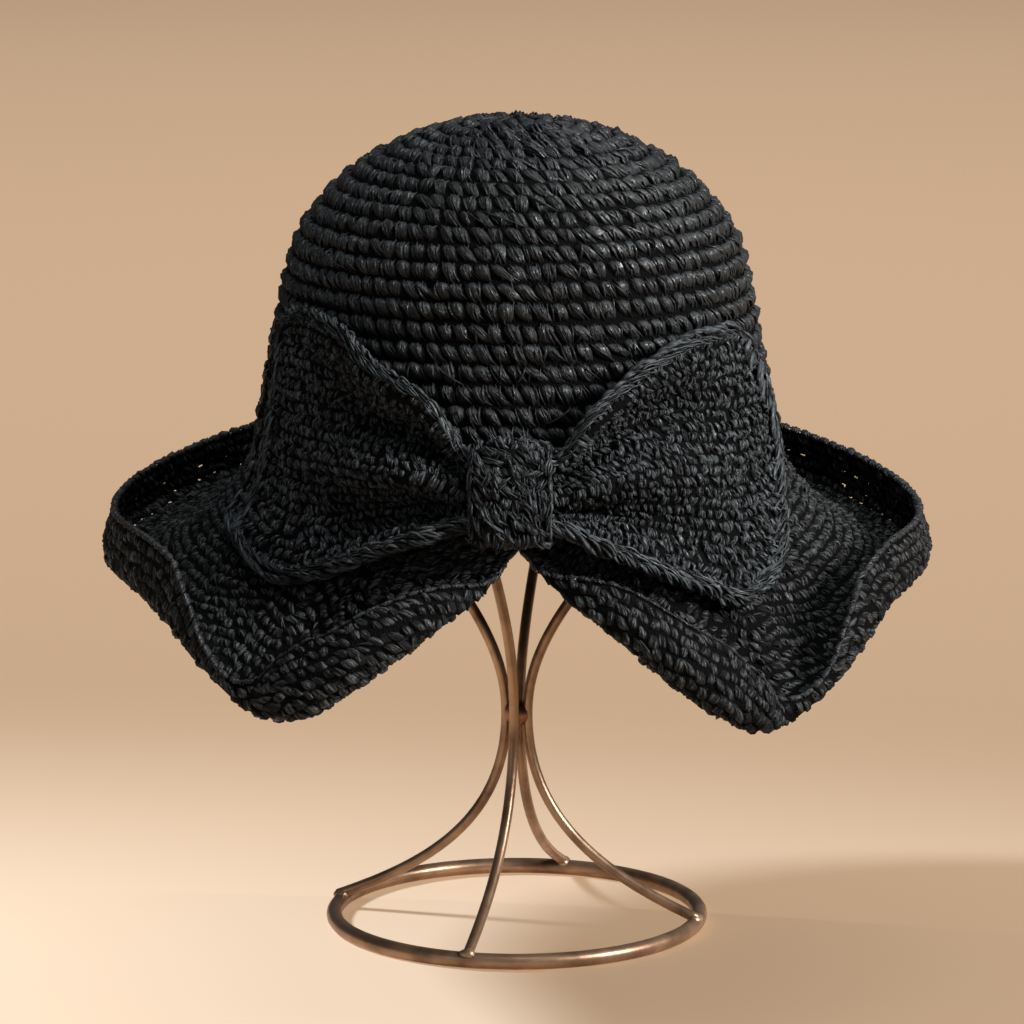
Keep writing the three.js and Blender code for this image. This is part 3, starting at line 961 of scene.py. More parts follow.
class Wire:
    """A shader socket that can be used in sums."""

    def __init__(self, paint: "Paint", socket: Any) -> None:
        """Wraps a socket of a paint's node tree."""
        self.paint = paint
        self.socket = socket

    def _math(self, operation: str, first: Any, second: Any) -> "Wire":
        """A Math node on two values."""
        return self.paint.node("ShaderNodeMath", {"operation": operation}, {0: first, 1: second})

    def __add__(self, other: Any) -> "Wire":
        """Sum."""
        return self._math("ADD", self, other)

    def __radd__(self, other: Any) -> "Wire":
        """Sum, reflected."""
        return self._math("ADD", other, self)

    def __sub__(self, other: Any) -> "Wire":
        """Difference."""
        return self._math("SUBTRACT", self, other)

    def __rsub__(self, other: Any) -> "Wire":
        """Difference, reflected."""
        return self._math("SUBTRACT", other, self)

    def __mul__(self, other: Any) -> "Wire":
        """Product."""
        return self._math("MULTIPLY", self, other)

    def __rmul__(self, other: Any) -> "Wire":
        """Product, reflected."""
        return self._math("MULTIPLY", other, self)


class Paint:
    """A material's node tree, with one shader."""

    def __init__(self, name: str) -> None:
        """Makes the material and finds its shader.

        Args:
            name: the material's name.
        """
        self.material = bpy.data.materials.new(name)
        self.material.use_nodes = True
        self.tree = self.material.node_tree
        self.shader = self.tree.nodes["Principled BSDF"]

    def node(self, kind: str, settings: dict, sockets: dict, output: Any = 0) -> Wire:
        """Adds a node.

        Args:
            kind: the node's type.
            settings: its properties, set first.
            sockets: values or links of its inputs, by name or number.
            output: which output to give back.

        Returns:
            The chosen output.
        """
        made = self.tree.nodes.new(kind)
        for key, value in settings.items():
            if key == "stops":
                self._stops(made.color_ramp, value)
            else:
                setattr(made, key, value)
        for key, value in sockets.items():
            self.feed(made.inputs[key], value)
        return Wire(self, made.outputs[output])

    @staticmethod
    def _stops(ramp: Any, stops: tuple) -> None:
        """Sets a ramp's stops.

        Args:
            ramp: the ramp.
            stops: the place and the colour of each stop.
        """
        while len(ramp.elements) < len(stops):
            ramp.elements.new(1.0)
        for element, (place, colour) in zip(ramp.elements, stops):
            element.position = place
            element.color = (*colour, 1.0)

    def feed(self, socket: Any, value: Any) -> None:
        """Links a wire to a socket, or sets its value.

        Args:
            socket: an input of a node.
            value: a wire or a plain value.
        """
        if isinstance(value, Wire):
            self.tree.links.new(value.socket, socket)
        else:
            socket.default_value = value

    def clamped(self, value: Wire) -> Wire:
        """A value kept between nought and one."""
        return self.node("ShaderNodeClamp", {}, {"Value": value})

    def set(self, **sockets: Any) -> None:
        """Sets or links the shader's inputs, with underscores for spaces in their names."""
        for key, value in sockets.items():
            self.feed(self.shader.inputs[key.replace("_", " ")], value)


class Finish:
    """A finish makes its material once and gives it to every piece that asks."""

    name: str

    def paint(self) -> bpy.types.Material:
        """Builds the material, in each kind of finish."""
        raise NotImplementedError

    def material(self) -> bpy.types.Material:
        """The finish's material."""
        found = bpy.data.materials.get(self.name)
        return found or self.paint()


@dataclass(frozen=True)
class Raffia(Finish):
    """Dyed raffia: fine streaks along each strand, strands that took the dye a little differently, and
    painted light: darker in the grooves and at the stitches' edges, lighter on their crests.
    """

    name: str
    # dark is the colour of the painted shade in the grooves; light is the colour of the crests, painted
    # highlight included.
    dark: tuple = (0.0011, 0.0012, 0.0013)
    light: tuple = (0.0185, 0.0213, 0.0230)
    rough_low: float = 0.36
    rough_high: float = 0.85
    streaks_across: float = 1.3
    streaks_along: float = 0.3
    streak_depth: float = 0.0010
    contrast: float = 3.2
    bias: float = 0.0
    specular: float = 0.5
    streak_detail: float = 2.5

    def paint(self) -> bpy.types.Material:
        """Builds the raffia's nodes.

        Returns:
            The material.
        """
        paint = Paint(self.name)
        grain = paint.node("ShaderNodeAttribute", {"attribute_name": "grain"}, {}, "Vector")
        tone = paint.node("ShaderNodeAttribute", {"attribute_name": "tone"}, {}, "Fac")
        scale = (self.streaks_across, self.streaks_along, 1.0)
        place = paint.node("ShaderNodeVectorMath", {"operation": "MULTIPLY"}, {0: grain, 1: scale})
        noise = {"Vector": place, "Scale": 1.0, "Detail": self.streak_detail}
        streak = paint.node("ShaderNodeTexNoise", {}, noise)
        # Painted light: the points' painted shade and highlights, with the streaks, set how far the colour
        # goes from dark to light.
        shade = paint.clamped(tone + self.bias + (streak - 0.5) * self.contrast)
        mixed = {"Factor": shade, "A": (*self.dark, 1), "B": (*self.light, 1)}
        colour = paint.node("ShaderNodeMix", {"data_type": "RGBA"}, mixed, 2)
        rough = self.rough_high - (self.rough_high - self.rough_low) * shade
        relief = {"Height": streak, "Strength": 1.0, "Distance": self.streak_depth}
        bump = paint.node("ShaderNodeBump", {}, relief, "Normal")
        paint.set(Base_Color=colour, Roughness=rough, Normal=bump)
        paint.set(Specular_IOR_Level=self.specular)
        return paint.material


@dataclass(frozen=True)
class Bronze(Finish):
    """Aged bronze wire: warm satin metal, darker where it was drawn and handled."""

    name: str
    bright: tuple = (0.45, 0.275, 0.17)
    dark: tuple = (0.16, 0.085, 0.05)
    rough_low: float = 0.26
    rough_high: float = 0.48
    metallic: float = 0.72
    cloud_scale: float = 60.0
    cloud_detail: float = 4.0
    fine_scale: float = 420.0
    fine_detail: float = 3.0
    dark_until: float = 0.32
    bright_from: float = 0.58
    relief_strength: float = 0.25
    relief_depth: float = 0.0002

    def paint(self) -> bpy.types.Material:
        """Builds the bronze's nodes.

        Returns:
            The material.
        """
        paint = Paint(self.name)
        place = paint.node("ShaderNodeTexCoord", {}, {}, "Object")
        clouds = {"Vector": place, "Scale": self.cloud_scale, "Detail": self.cloud_detail}
        cloud = paint.node("ShaderNodeTexNoise", {}, clouds)
        specks = {"Vector": place, "Scale": self.fine_scale, "Detail": self.fine_detail}
        fine = paint.node("ShaderNodeTexNoise", {}, specks)
        stops = ((self.dark_until, self.dark), (self.bright_from, self.bright))
        shade = paint.node("ShaderNodeValToRGB", {"stops": stops}, {0: cloud})
        rough = self.rough_low + (self.rough_high - self.rough_low) * fine
        relief = {"Height": fine, "Strength": self.relief_strength, "Distance": self.relief_depth}
        bump = paint.node("ShaderNodeBump", {}, relief, "Normal")
        paint.set(Base_Color=shade, Roughness=rough, Normal=bump)
        paint.set(Metallic=self.metallic)
        return paint.material


@dataclass(frozen=True)
class FloorFinish(Finish):
    """Plain pale floor."""

    name: str
    colour: tuple = (0.80, 0.67, 0.54)
    roughness: float = 0.9
    specular: float = 0.1

    def paint(self) -> bpy.types.Material:
        """Builds the floor's nodes.

        Returns:
            The material.
        """
        paint = Paint(self.name)
        paint.set(Base_Color=(*self.colour, 1), Roughness=self.roughness, Specular_IOR_Level=self.specular)
        return paint.material


# Copies of the one black raffia. The brim's and the bow's are painted lighter on the crests, as painted
# highlights, and pushed darker elsewhere by their bias, as painted shade.
RAFFIA = Raffia("raffia_black")
BRIM_RAFFIA = Raffia(
    "raffia_black_brim",
    light=(0.062, 0.0640, 0.0650),
    contrast=4.6,
    bias=-0.38,
    specular=0.25,
)
FINE_RAFFIA = Raffia(
    "raffia_black_fine",
    light=(0.078, 0.088, 0.093),
    streaks_across=2.0,
    streaks_along=0.4,
    contrast=5.0,
    bias=-0.3,
    specular=0.3,
)
# Painted shade: the core is painted near black, for the shade in the gaps between the stitches.
SHADED_CORE_RAFFIA = Raffia("raffia_core", (0.0008, 0.0009, 0.0010), (0.002, 0.0022, 0.0024), 0.8, specular=0.08)
BRONZE = Bronze("bronze_wire_aged")
FOOT_SOLDER = Bronze("solder_brass", bright=(0.55, 0.40, 0.26), dark=(0.24, 0.15, 0.09), rough_low=0.36)
WAIST_SOLDER = Bronze("solder_copper", bright=(0.36, 0.155, 0.095), dark=(0.11, 0.05, 0.03))


def row_on_curve(
    sheet: Sheet, u: np.ndarray, v: np.ndarray, up_sign: float, width: float, closed: bool
) -> Seats:
    """Seats at even steps along a line on a sheet.

    Args:
        sheet: what carries the row.
        u: the line's grid places along the sheet.
        v: its grid places across the sheet.
        up_sign: +1 where a row's upper side faces growing v, or -1.
        width: wanted width of a stitch.
        closed: whether the line closes on itself.

    Returns:
        The seats, with a pitch and height of one.
    """
    if closed:
        u, v = np.append(u, u[0] + len(sheet.points)), np.append(v, v[0])
    points = sheet.read(sheet.points, u, v)
    step = np.linalg.norm(np.diff(points, axis=0), axis=1)
    at = np.concatenate([[0.0], np.cumsum(step)])
    count = max(int(round(at[-1] / width)), FEWEST_STITCHES)
    middle = (np.arange(count) + 0.5) * at[-1] / count
    su, sv = np.interp(middle, at, u), np.interp(middle, at, v)
    reach = ROW_REACH * at[-1] / count
    ahead = sheet.read(sheet.points, np.interp(middle + reach, at, u), np.interp(middle + reach, at, v))
    behind = sheet.read(sheet.points, np.interp(middle - reach, at, u), np.interp(middle - reach, at, v))
    up = sheet.read(sheet.across, su, sv) * up_sign
    one = np.ones(count)
    return Seats(su, sv, unit(ahead - behind), up, one * at[-1] / count, one, one, one)


@dataclass(frozen=True)
class EdgeBraid:
    """A braid that wraps an edge of a sheet."""

    radius: float
    width: float
    height: float
    kind: Braid = Braid()
    girth: float = 2.6

    def lay(self, mesh: StitchMesh, sheet: Sheet, side: Side) -> None:
        """Lays the braid along one edge.

        Args:
            mesh: what collects the strands.
            sheet: whose edge is wrapped.
            side: which edge.
        """
        rim = sheet.rim(side, self.radius)
        count, columns = rim.points.shape[:2]
        middle = np.full(count, (columns - 1) / 2)
        seats = row_on_curve(rim, np.arange(count, dtype=float), middle, 1.0, self.width, rim.wraps)
        seats.pitch = seats.pitch * self.girth * self.radius
        seats.height = seats.height * self.height
        mesh.add_strands(rim, seats, self.kind, Face.OUTER, 0.0)


@dataclass(frozen=True)
class Crown:
    """Crown of the hat: rounds of plump stitches from the top down."""

    form: HatForm
    seed: int = 11
    stitch_width: float = 6.1
    row_pitch: float = 7.15
    stitch_height: float = 2.25
    floor: float = -2.15
    core_low: float = -3.0
    core_high: float = -2.0
    inner_height: float = 1.2
    flat_top: float = 16.0
    smooth_top: float = 12.0
    neat_top: float = 34.0
    kind: Puff = Puff()
    fan: Fan = Fan(4, spread_top=0.58, unruly=0.5, wobble=0.1, stagger=0.05, strand_width=0.14, lift=-0.05)
    stray: Fan = Fan(1, 5, 0.9, top=0.5, bottom=-0.6, strand_width=0.09, wobble=0.25, unruly=1.2, lift=0.05)
    stray_share: float = 0.12
    inner_kind: Puff = Puff(3, down=(0.0, 0.45, 1.0), half_width=(0.4, 0.6, 0.2), swell=(0.0, 1.0, 0.0))
    fill: float = 0.93
    steps_round: int = 360
    steps_down: int = 168
    waver: float = 0.35
    turn_spread: float = 30.0
    pitch: Spread = Spread(1.0, 0.07)
    sway: Spread = Spread(1.0, 0.3)
    height: Spread = Spread(1.0, 0.1)
    top_height: float = 0.5
    core_steps: tuple = (6, 4)
    inner_sink: float = 0.3

    def sheet(self) -> Sheet:
        """The crown's outside, one grid step for each degree round it and each millimetre down it.

        Returns:
            The sheet.
        """
        profile = self.form.crown_profile(self.steps_down)
        azimuth = np.arange(self.steps_round) * 360.0 / self.steps_round
        return Sheet(polar(profile[None, :, 0], azimuth[:, None], profile[None, :, 1]), True)

    def rows(self, sheet: Sheet, rng: np.random.Generator) -> Seats:
        """Seats of all rounds.

        Args:
            sheet: the crown's outside.
            rng: source of the small differences between stitches.

        Returns:
            The seats, from the top down.
        """
        step = np.linalg.norm(np.diff(sheet.points[0], axis=0), axis=1).mean()
        length = step * (self.steps_down - 1)
        count = int(round(length / self.row_pitch))
        pitch = length / count
        parts = []
        for i in range(count):
            u = np.arange(self.steps_round, dtype=float) + rng.uniform(0, self.turn_spread)
            place = (i + 0.5) * pitch + self.waver * np.sin(np.radians(u * 2 + rng.uniform(0, 360)))
            row = row_on_curve(sheet, u, place / step, -1.0, self.stitch_width, True)
            row.pitch = row.pitch * pitch * self.fill * self.pitch.draw(rng, len(row.u))
            row.sway = self.sway.draw(rng, len(row.u))
            low = self.top_height + (1 - self.top_height) * min((i + 0.5) * pitch / self.flat_top, 1.0)
            row.height = row.height * self.stitch_height * low * self.height.draw(rng, len(row.u))
            parts.append(row)
        return Seats.joined(parts)

    def build(self) -> list[bpy.types.Object]:
        """Makes the crown's outside, the strands on it, its core and its inside.

        Returns:
            The pieces.
        """
        rng = np.random.default_rng(self.seed)
        sheet = self.sheet()
        seats = self.rows(sheet, rng)
        outside = StitchMesh(rng)
        outside.add_puffs(sheet, seats, self.kind, Face.OUTER, self.floor)
        outer = outside.write("crown_stitches", RAFFIA)
        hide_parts("crown")
        loose = StitchMesh(rng)
        below = seats.picked(np.flatnonzero(seats.v > self.smooth_top))
        loose.add_strands(sheet, below, self.fan, Face.OUTER, self.floor)
        chosen = np.flatnonzero((rng.random(len(below.u)) < self.stray_share) & (below.v > self.neat_top))
        loose.add_strands(sheet, below.picked(chosen), self.stray, Face.OUTER, self.floor)
        strands = loose.write("crown_strands", RAFFIA)
        shell = sheet.shell((self.core_low, self.core_high), self.core_steps)
        core = write_shell("crown_core", shell, SHADED_CORE_RAFFIA)
        inside = StitchMesh(rng)
        seats.height = seats.height * self.inner_height / self.stitch_height
        inside.add_puffs(sheet, seats, self.inner_kind, Face.INNER, -self.core_low - self.inner_sink)
        return [outer, strands, core, inside.write("crown_inner_stitches", RAFFIA)]


@dataclass(frozen=True)
class Brim:
    """Brim of the hat: rows that follow its free edge, on both faces, and a thick edge row."""

    form: HatForm
    seed: int = 23
    stitch_width: float = 4.0
    row_pitch: float = 4.5
    stitch_height: float = 1.4
    fill: float = 1.02
    scatter_slope: float = 0.3
    scatter_curl: float = 0.65
    curl_rows: int = 7
    tuck: float = 4.0
    shown_under: float = 36.0
    core: float = 0.4
    floor: float = -0.1
    edge_inset: float = 1.8
    steps_round: int = 720
    steps_across: int = 150
    edge_radius: float = 1.3
    edge_width: float = 5.2
    edge_height: float = 0.85
    bare: float = 3.7
    pinhole_share: float = 0.9
    kind: Puff = Puff(
        5,
        lean=0.45,
        rough=0.12,
        down=(0.0, 0.14, 0.42, 0.74, 1.0),
        half_width=(0.36, 0.53, 0.57, 0.48, 0.28),
        swell=(0.0, 0.75, 1.0, 0.68, 0.0),
    )
    under_kind: Puff = Puff(
        5,
        lean=0.55,
        ridge=0.09,
        ragged=0.08,
        rough=0.06,
        down=(0.0, 0.14, 0.45, 0.78, 1.0),
        half_width=(0.36, 0.52, 0.56, 0.49, 0.32),
        swell=(0.0, 0.74, 1.0, 0.74, 0.0),
    )
    under_fan: Fan = Fan(
        1,
        3,
        top=0.34,
        bottom=-0.4,
        strand_width=0.2,
        strand_thickness=0.06,
        wobble=0.2,
        unruly=0.9,
        lift=-0.15,
    )
    fan: Fan = Fan(1, 3, top=0.36, bottom=-0.42, unruly=0.8, wobble=0.22, strand_width=0.2, lift=0.06)
    hidden_kind: Puff = Puff(3, down=(0.0, 0.45, 1.0), half_width=(0.4, 0.6, 0.2), swell=(0.0, 1.0, 0.0))
    edge_kind: Puff = Puff(columns=7, lean=0.3, ridge=0.09, ragged=0.06, rough=0.05)
    edge_fan: Fan = Fan(
        3,
        lean=0.6,
        strand_width=0.2,
        strand_thickness=0.07,
        unruly=0.4,
        stagger=0.04,
        lift=-0.08,
    )
    edge_floor: float = -0.3
    edge_wrap: float = 1.25
    slope_steps: int = 60
    curl_steps: int = 40
    core_steps: tuple = (6, 5)
    smoothing: int = 15
    first_row: float = 0.7
    closing_row: float = 0.6
    shortest_run: int = 12
    least_slant: float = 0.35
    seam_pitch: Spread = Spread(1.1, 0.08)
    pitch: Spread = Spread(1.0, 0.1)
    height: Spread = Spread(1.0, 0.2, 0.5, 1.5)
    sway: Spread = Spread(1.0, 0.6)
    width: Spread = Spread(1.0, 0.12)
    edge_spread: Spread = Spread(1.0, 0.12)
    patch_steps: tuple = (3, 2)
    patch_inset: tuple = (8.0, 4.0)
    pinhole_azimuths: tuple = (95.0, 150.0)
    pinhole_cells: tuple = (21, 29)

    def sheet(self) -> Sheet:
        """The brim's middle layer, from the crown to the free edge.

        Returns:
            The sheet.
        """
        azimuth = (np.arange(self.steps_round) + 0.5) * 360.0 / self.steps_round
        azimuth = np.where(azimuth > 180, azimuth - 360, azimuth)
        grid = []
        for a in azimuth:
            section = self.form.brim_section(a, self.slope_steps, self.curl_steps)
            inside = section[:1] - unit(section[1:2] - section[:1]) * self.tuck
            section = shorter(np.concatenate([inside, section]), self.edge_inset, self.steps_across)
            grid.append(polar(section[:, 0], np.array(a), section[:, 1]))
        return Sheet(np.array(grid), True)

    def rows(self, sheet: Sheet, rng: np.random.Generator) -> Seats:
        """Seats of all rows, each one stitch's pitch in from the row before it, from the free edge.

        Args:
            sheet: the brim's middle layer.
            rng: source of the small differences between stitches.

        Returns:
            The seats.
        """
        length = np.linalg.norm(np.diff(sheet.points, axis=1), axis=2).sum(1)
        step = length / (self.steps_across - 1)
        u = np.arange(self.steps_round, dtype=float)
        window = np.ones(self.smoothing) / self.smoothing
        ends = self.smoothing // 2
        seam = row_on_curve(sheet, u, self.tuck / step, -1.0, self.stitch_width, True)
        seam.pitch = seam.pitch * self.row_pitch * self.seam_pitch.draw(rng, len(seam.u))
        seam.height = seam.height * self.stitch_height
        parts = [seam]
        place = length - self.first_row * self.row_pitch
        closing = self.tuck + self.closing_row * self.row_pitch
        worked = 0
        while (place > closing).any():
            scatter = self.scatter_curl if worked < self.curl_rows else self.scatter_slope
            worked += 1
            v = np.maximum(place, 0) / step
            keep = place > closing
            for run in self._runs(keep):
                if len(run) < self.shortest_run:
                    continue
                closed = len(run) == self.steps_round
                line = v[run % self.steps_round]
                row = row_on_curve(sheet, run.astype(float), line, -1.0, self.stitch_width, closed)
                row.pitch = self.row_pitch * self.fill * self.pitch.draw(rng, len(row.u))
                row.height = self.stitch_height * self.height.draw(rng, len(row.u))
                row.sway = self.sway.draw(rng, len(row.u))
                local = step[row.u.astype(int) % self.steps_round]
                row.v = row.v + rng.normal(0, scatter, len(row.u)) / local
                row.width = row.width * self.width.draw(rng, len(row.u))
                parts.append(row)
            points = sheet.read(sheet.points, u, v)
            way = unit(np.roll(points, -1, 0) - np.roll(points, 1, 0))
            across = unit(sheet.read(sheet.across, u, v))
            slant = np.linalg.norm(np.cross(way, across), axis=-1).clip(self.least_slant, 1)
            stride = self.row_pitch / slant
            looped = np.concatenate([stride[-ends:], stride, stride[:ends]])
            place = place - np.convolve(looped, window, "valid")
        return Seats.joined(parts)

    def patches(self, sheet: Sheet, seats: Seats, rng: np.random.Generator) -> Seats:
        """Seats in the bare spots that the rows leave where they crowd round a fold.

        Args:
            sheet: the brim's middle layer.
            seats: of the rows.
            rng: source of the small differences between stitches.

        Returns:
            The rows' seats and the new ones.
        """
        first, last = self.patch_inset
        places = np.arange(first, self.steps_across - last, self.patch_steps[1])
        u, v = np.meshgrid(np.arange(0.0, self.steps_round, self.patch_steps[0]), places)
        u, v = u.ravel(), v.ravel()
        spots = sheet.read(sheet.points, u, v)
        tree = KDTree(len(seats.u))
        for i, spot in enumerate(sheet.read(sheet.points, seats.u, seats.v)):
            tree.insert(spot, i)
        tree.balance()
        bare = [i for i in rng.permutation(len(u)) if tree.find(spots[i])[2] > self.bare]
        chosen: list[int] = []
        for i in bare:
            if not chosen or np.linalg.norm(spots[chosen] - spots[i], axis=1).min() > self.bare:
                chosen.append(i)
        one = np.ones(len(chosen))
        u, v = u[chosen], v[chosen]
        way, up = unit(sheet.read(sheet.along, u, v)), -sheet.read(sheet.across, u, v)
        height = self.stitch_height * self.height.draw(rng, len(chosen))
        sway = self.sway.draw(rng, len(chosen))
        extra = Seats(u, v, way, up, self.stitch_width * one, self.row_pitch * one, height, sway)
        return Seats.joined([seats, extra])

    def pinholes(self) -> np.ndarray:
        """Cells of the core with a small opening, in the far part of the curl, where light shows through.

        Returns:
            Which cells are open, round the brim by across it.
        """
        count = self.steps_round // self.core_steps[0]
        azimuth = (np.arange(count) + 0.5) * 360.0 / count
        away = np.minimum(azimuth, 360 - azimuth)
        place = np.arange(math.ceil(self.steps_across / self.core_steps[1]))
        near, far = self.pinhole_azimuths
        first, last = self.pinhole_cells
        spots = ((away > near) & (away < far))[:, None] & ((place > first) & (place < last))[None, :]
        return spots & (np.random.default_rng(self.seed).random(spots.shape) < self.pinhole_share)

    @staticmethod
    def _runs(keep: np.ndarray) -> list[np.ndarray]:
        """Stretches of neighbouring places that are kept, on a closed line.

        Args:
            keep: whether each place is kept.

        Returns:
            The numbers of the places in each stretch, counted on past the last place.
        """
        count = len(keep)
        if keep.all():
            return [np.arange(count)]
        start = int(np.argmin(keep))
        order = np.arange(start, start + count)
        cuts = np.flatnonzero(np.diff(keep[order % count].astype(int))) + 1
        return [part for part in np.split(order, cuts) if keep[part[0] % count]]

    def edge(self, sheet: Sheet, rng: np.random.Generator) -> tuple[Sheet, Seats]:
        """The half round along the free edge, and the seats of the stitches that wrap it.

        Args:
            sheet: the brim's middle layer.
            rng: source of the small differences between stitches.

        Returns:
            The half round and the seats.
        """
        rim = sheet.rim(Side.LAST_COLUMN, self.edge_radius)
        middle = (rim.points.shape[1] - 1) / 2
        u = np.arange(self.steps_round, dtype=float)
        seats = row_on_curve(rim, u, np.full(self.steps_round, middle), 1.0, self.edge_width, True)
        seats.pitch = seats.pitch * self.edge_wrap * math.pi * self.edge_radius
        seats.height = seats.height * self.edge_height * self.edge_spread.draw(rng, len(seats.u))
        return rim, seats

    def build(self) -> list[bpy.types.Object]:
        """Makes the brim's core, its two faces, the strands on them and its edge row.

        Returns:
            The pieces.
        """
        rng = np.random.default_rng(self.seed)
        sheet = self.sheet()
        seats = self.patches(sheet, self.rows(sheet, rng), rng)
        top = StitchMesh(rng)
        top.add_puffs(sheet, seats, self.kind, Face.OUTER, self.floor)
        outer = top.write("brim_top_stitches", BRIM_RAFFIA)
        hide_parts("brim")
        shell = sheet.shell((-self.core, self.core), self.core_steps, self.pinholes())
        core = write_shell("brim_core", shell, SHADED_CORE_RAFFIA)
        along = np.linalg.norm(np.diff(sheet.points, axis=1), axis=2).mean(1)
        inset = (self.steps_across - 1 - seats.v) * along[seats.u.astype(int) % self.steps_round]
        shown = seats.picked(np.flatnonzero(inset < self.shown_under))
        under = StitchMesh(rng)
        under.add_puffs(sheet, shown, self.under_kind, Face.INNER, self.floor)
        hidden = seats.picked(np.flatnonzero(inset >= self.shown_under))
        under.add_puffs(sheet, hidden, self.hidden_kind, Face.INNER, self.floor)
        loose = StitchMesh(rng)
        loose.add_strands(sheet, seats, self.fan, Face.OUTER, self.floor)
        loose.add_strands(sheet, shown, self.under_fan, Face.INNER, self.floor)
        edging = StitchMesh(rng)
        rim, edge_seats = self.edge(sheet, rng)
        edging.add_puffs(rim, edge_seats, self.edge_kind, Face.OUTER, self.edge_floor)
        edging.add_strands(rim, edge_seats, self.edge_fan, Face.OUTER, self.edge_floor)
        return [
            outer,
            core,
            under.write("brim_under_stitches", BRIM_RAFFIA),
            loose.write("brim_strands", BRIM_RAFFIA),
            # The edge row takes the crown's darker raffia: painted shade along the brim's rim.
            edging.write("brim_edge_stitches", RAFFIA),
        ]


@dataclass(frozen=True)
class Bow:
    """Bow: one wide strip gathered in the middle, in a finer crochet, with a braid along its edges."""

    form: HatForm
    seed: int = 37
    stitch_width: float = 2.5
    rows_across: int = 23
    row_pitch: float = 3.8
    stitch_height: float = 1.5
    scatter: float = 0.55
    fewest: float = 2.5
    core: float = 0.4
    floor: float = 0.2
    pleat_waves: float = 2.0
    pleat_start: float = 0.12
    steps_along: int = 226
    steps_across: int = 96
    edging: EdgeBraid = EdgeBraid(1.7, 4.6, 1.1)
    end_inset: float = 3.3
    end_width: float = 4.4
    chain_inset: float = 1.0
    chain_width: float = 2.6
    chain_lift: float = 0.6
    kind: Puff = Puff(
        5,
        lean=0.6,
        top=0.5,
        bottom=-0.52,
        rough=0.1,
        down=(0.0, 0.16, 0.5, 0.82, 1.0),
        half_width=(0.24, 0.41, 0.46, 0.39, 0.2),
        swell=(0.0, 0.8, 1.0, 0.75, 0.0),
    )
    fan: Fan = Fan(
        1,
        3,
        lean=0.6,
        top=0.42,
        bottom=-0.46,
        strand_width=0.2,
        wobble=0.24,
        unruly=0.5,
        lift=0.08,
    )
    back_kind: Fan = Fan(1, 3, lean=0.4, strand_width=0.6, strand_thickness=0.25)
    back_every: int = 2
    core_steps: tuple = (3, 3)
    pitch: Spread = Spread(1.02, 0.14)
    height: Spread = Spread(1.0, 0.28, 0.4, 1.6)
    sway: Spread = Spread(0.9, 0.6)
    counter_sway: Spread = Spread(-0.4, 0.6)
    counter_every: int = 3
    least_height: float = 0.5

    def sheet(self) -> Sheet:
        """The bow's middle layer, from its left end to its right end and from its top edge down.

        Returns:
            The sheet.
        """
        along = np.linspace(BOW[0].along, BOW[-1].along, self.steps_along)
        value = {name: look_up(BOW, name, along)[:, None] for name in BowRow._fields[1:]}
        v = np.linspace(0, 1, self.steps_across)[None, :]
        azimuth = value["top_azimuth"] * (1 - v) + value["bottom_azimuth"] * v
        azimuth = azimuth + 4 * v * (1 - v) * value["bulge"]
        z = self.form.base + value["top"] * (1 - v) + value["bottom"] * v
        fold = value["pleat"] * np.cos(2 * math.pi * (self.pleat_waves * v - self.pleat_start))
        radius = self.form.outer_radius(azimuth, z) + value["lift"] + fold
        return Sheet(polar(radius, azimuth, z), False)

    def rows(self, sheet: Sheet, rng: np.random.Generator) -> Seats:
        """Seats of all rows, from one end of the bow to the other.

        Args:
            sheet: the bow's middle layer.
            rng: source of the small differences between stitches.

        Returns:
            The seats, with fewer rows where the bow is gathered.
        """
        parts = []
        u = np.arange(self.steps_along, dtype=float)
        gap = (self.steps_across - 1) / self.rows_across
        for j in range(self.rows_across):
            line = np.full(self.steps_along, (j + 0.5) * gap)
            row = row_on_curve(sheet, u, line, -1.0, self.stitch_width, False)
            above = sheet.read(sheet.points, row.u, row.v - gap / 2)
            below = sheet.read(sheet.points, row.u, row.v + gap / 2)
            local = np.linalg.norm(above - below, axis=-1)
            merged = np.where(local > self.fewest, 1, np.where(local > self.fewest / 2, 2, 3))
            row.pitch = local * merged * self.pitch.draw(rng, len(row.u))
            row.v = row.v + gap * (merged - 1) / 2
            close = np.clip(row.pitch / self.row_pitch, self.least_height, 1)
            row.height = self.stitch_height * close * self.height.draw(rng, len(row.u))
            sway = self.sway if j % self.counter_every else self.counter_sway
            row.sway = sway.draw(rng, len(row.u))
            row.u = row.u + rng.normal(0, self.scatter, len(row.u))
            row.v = row.v + rng.normal(0, self.scatter, len(row.u))
            parts.append(row.picked(np.flatnonzero(j % merged == 0)))
        return Seats.joined(parts)

    def braids(self, sheet: Sheet, mesh: StitchMesh) -> None:
        """Lays the braid round the bow's edges, and the lines of braid inside them.

        Args:
            sheet: the bow's middle layer.
            mesh: what collects the strands.
        """
        for side in Side:
            self.edging.lay(mesh, sheet, side)
        u = np.arange(self.steps_along, dtype=float)
        for place in (self.chain_inset, self.steps_across - 1 - self.chain_inset):
            line = np.full(self.steps_along, place)
            seats = row_on_curve(sheet, u, line, -1.0, self.edging.width, False)
            self._chain(sheet, mesh, seats, self.chain_width)
        v = np.arange(self.steps_across, dtype=float)
        for place in (self.end_inset, self.steps_along - 1 - self.end_inset):
            line = np.full(self.steps_across, place)
            seats = row_on_curve(sheet, line, v, 1.0, self.edging.width, False)
            seats.up = sheet.read(sheet.along, seats.u, seats.v)
            self._chain(sheet, mesh, seats, self.end_width)

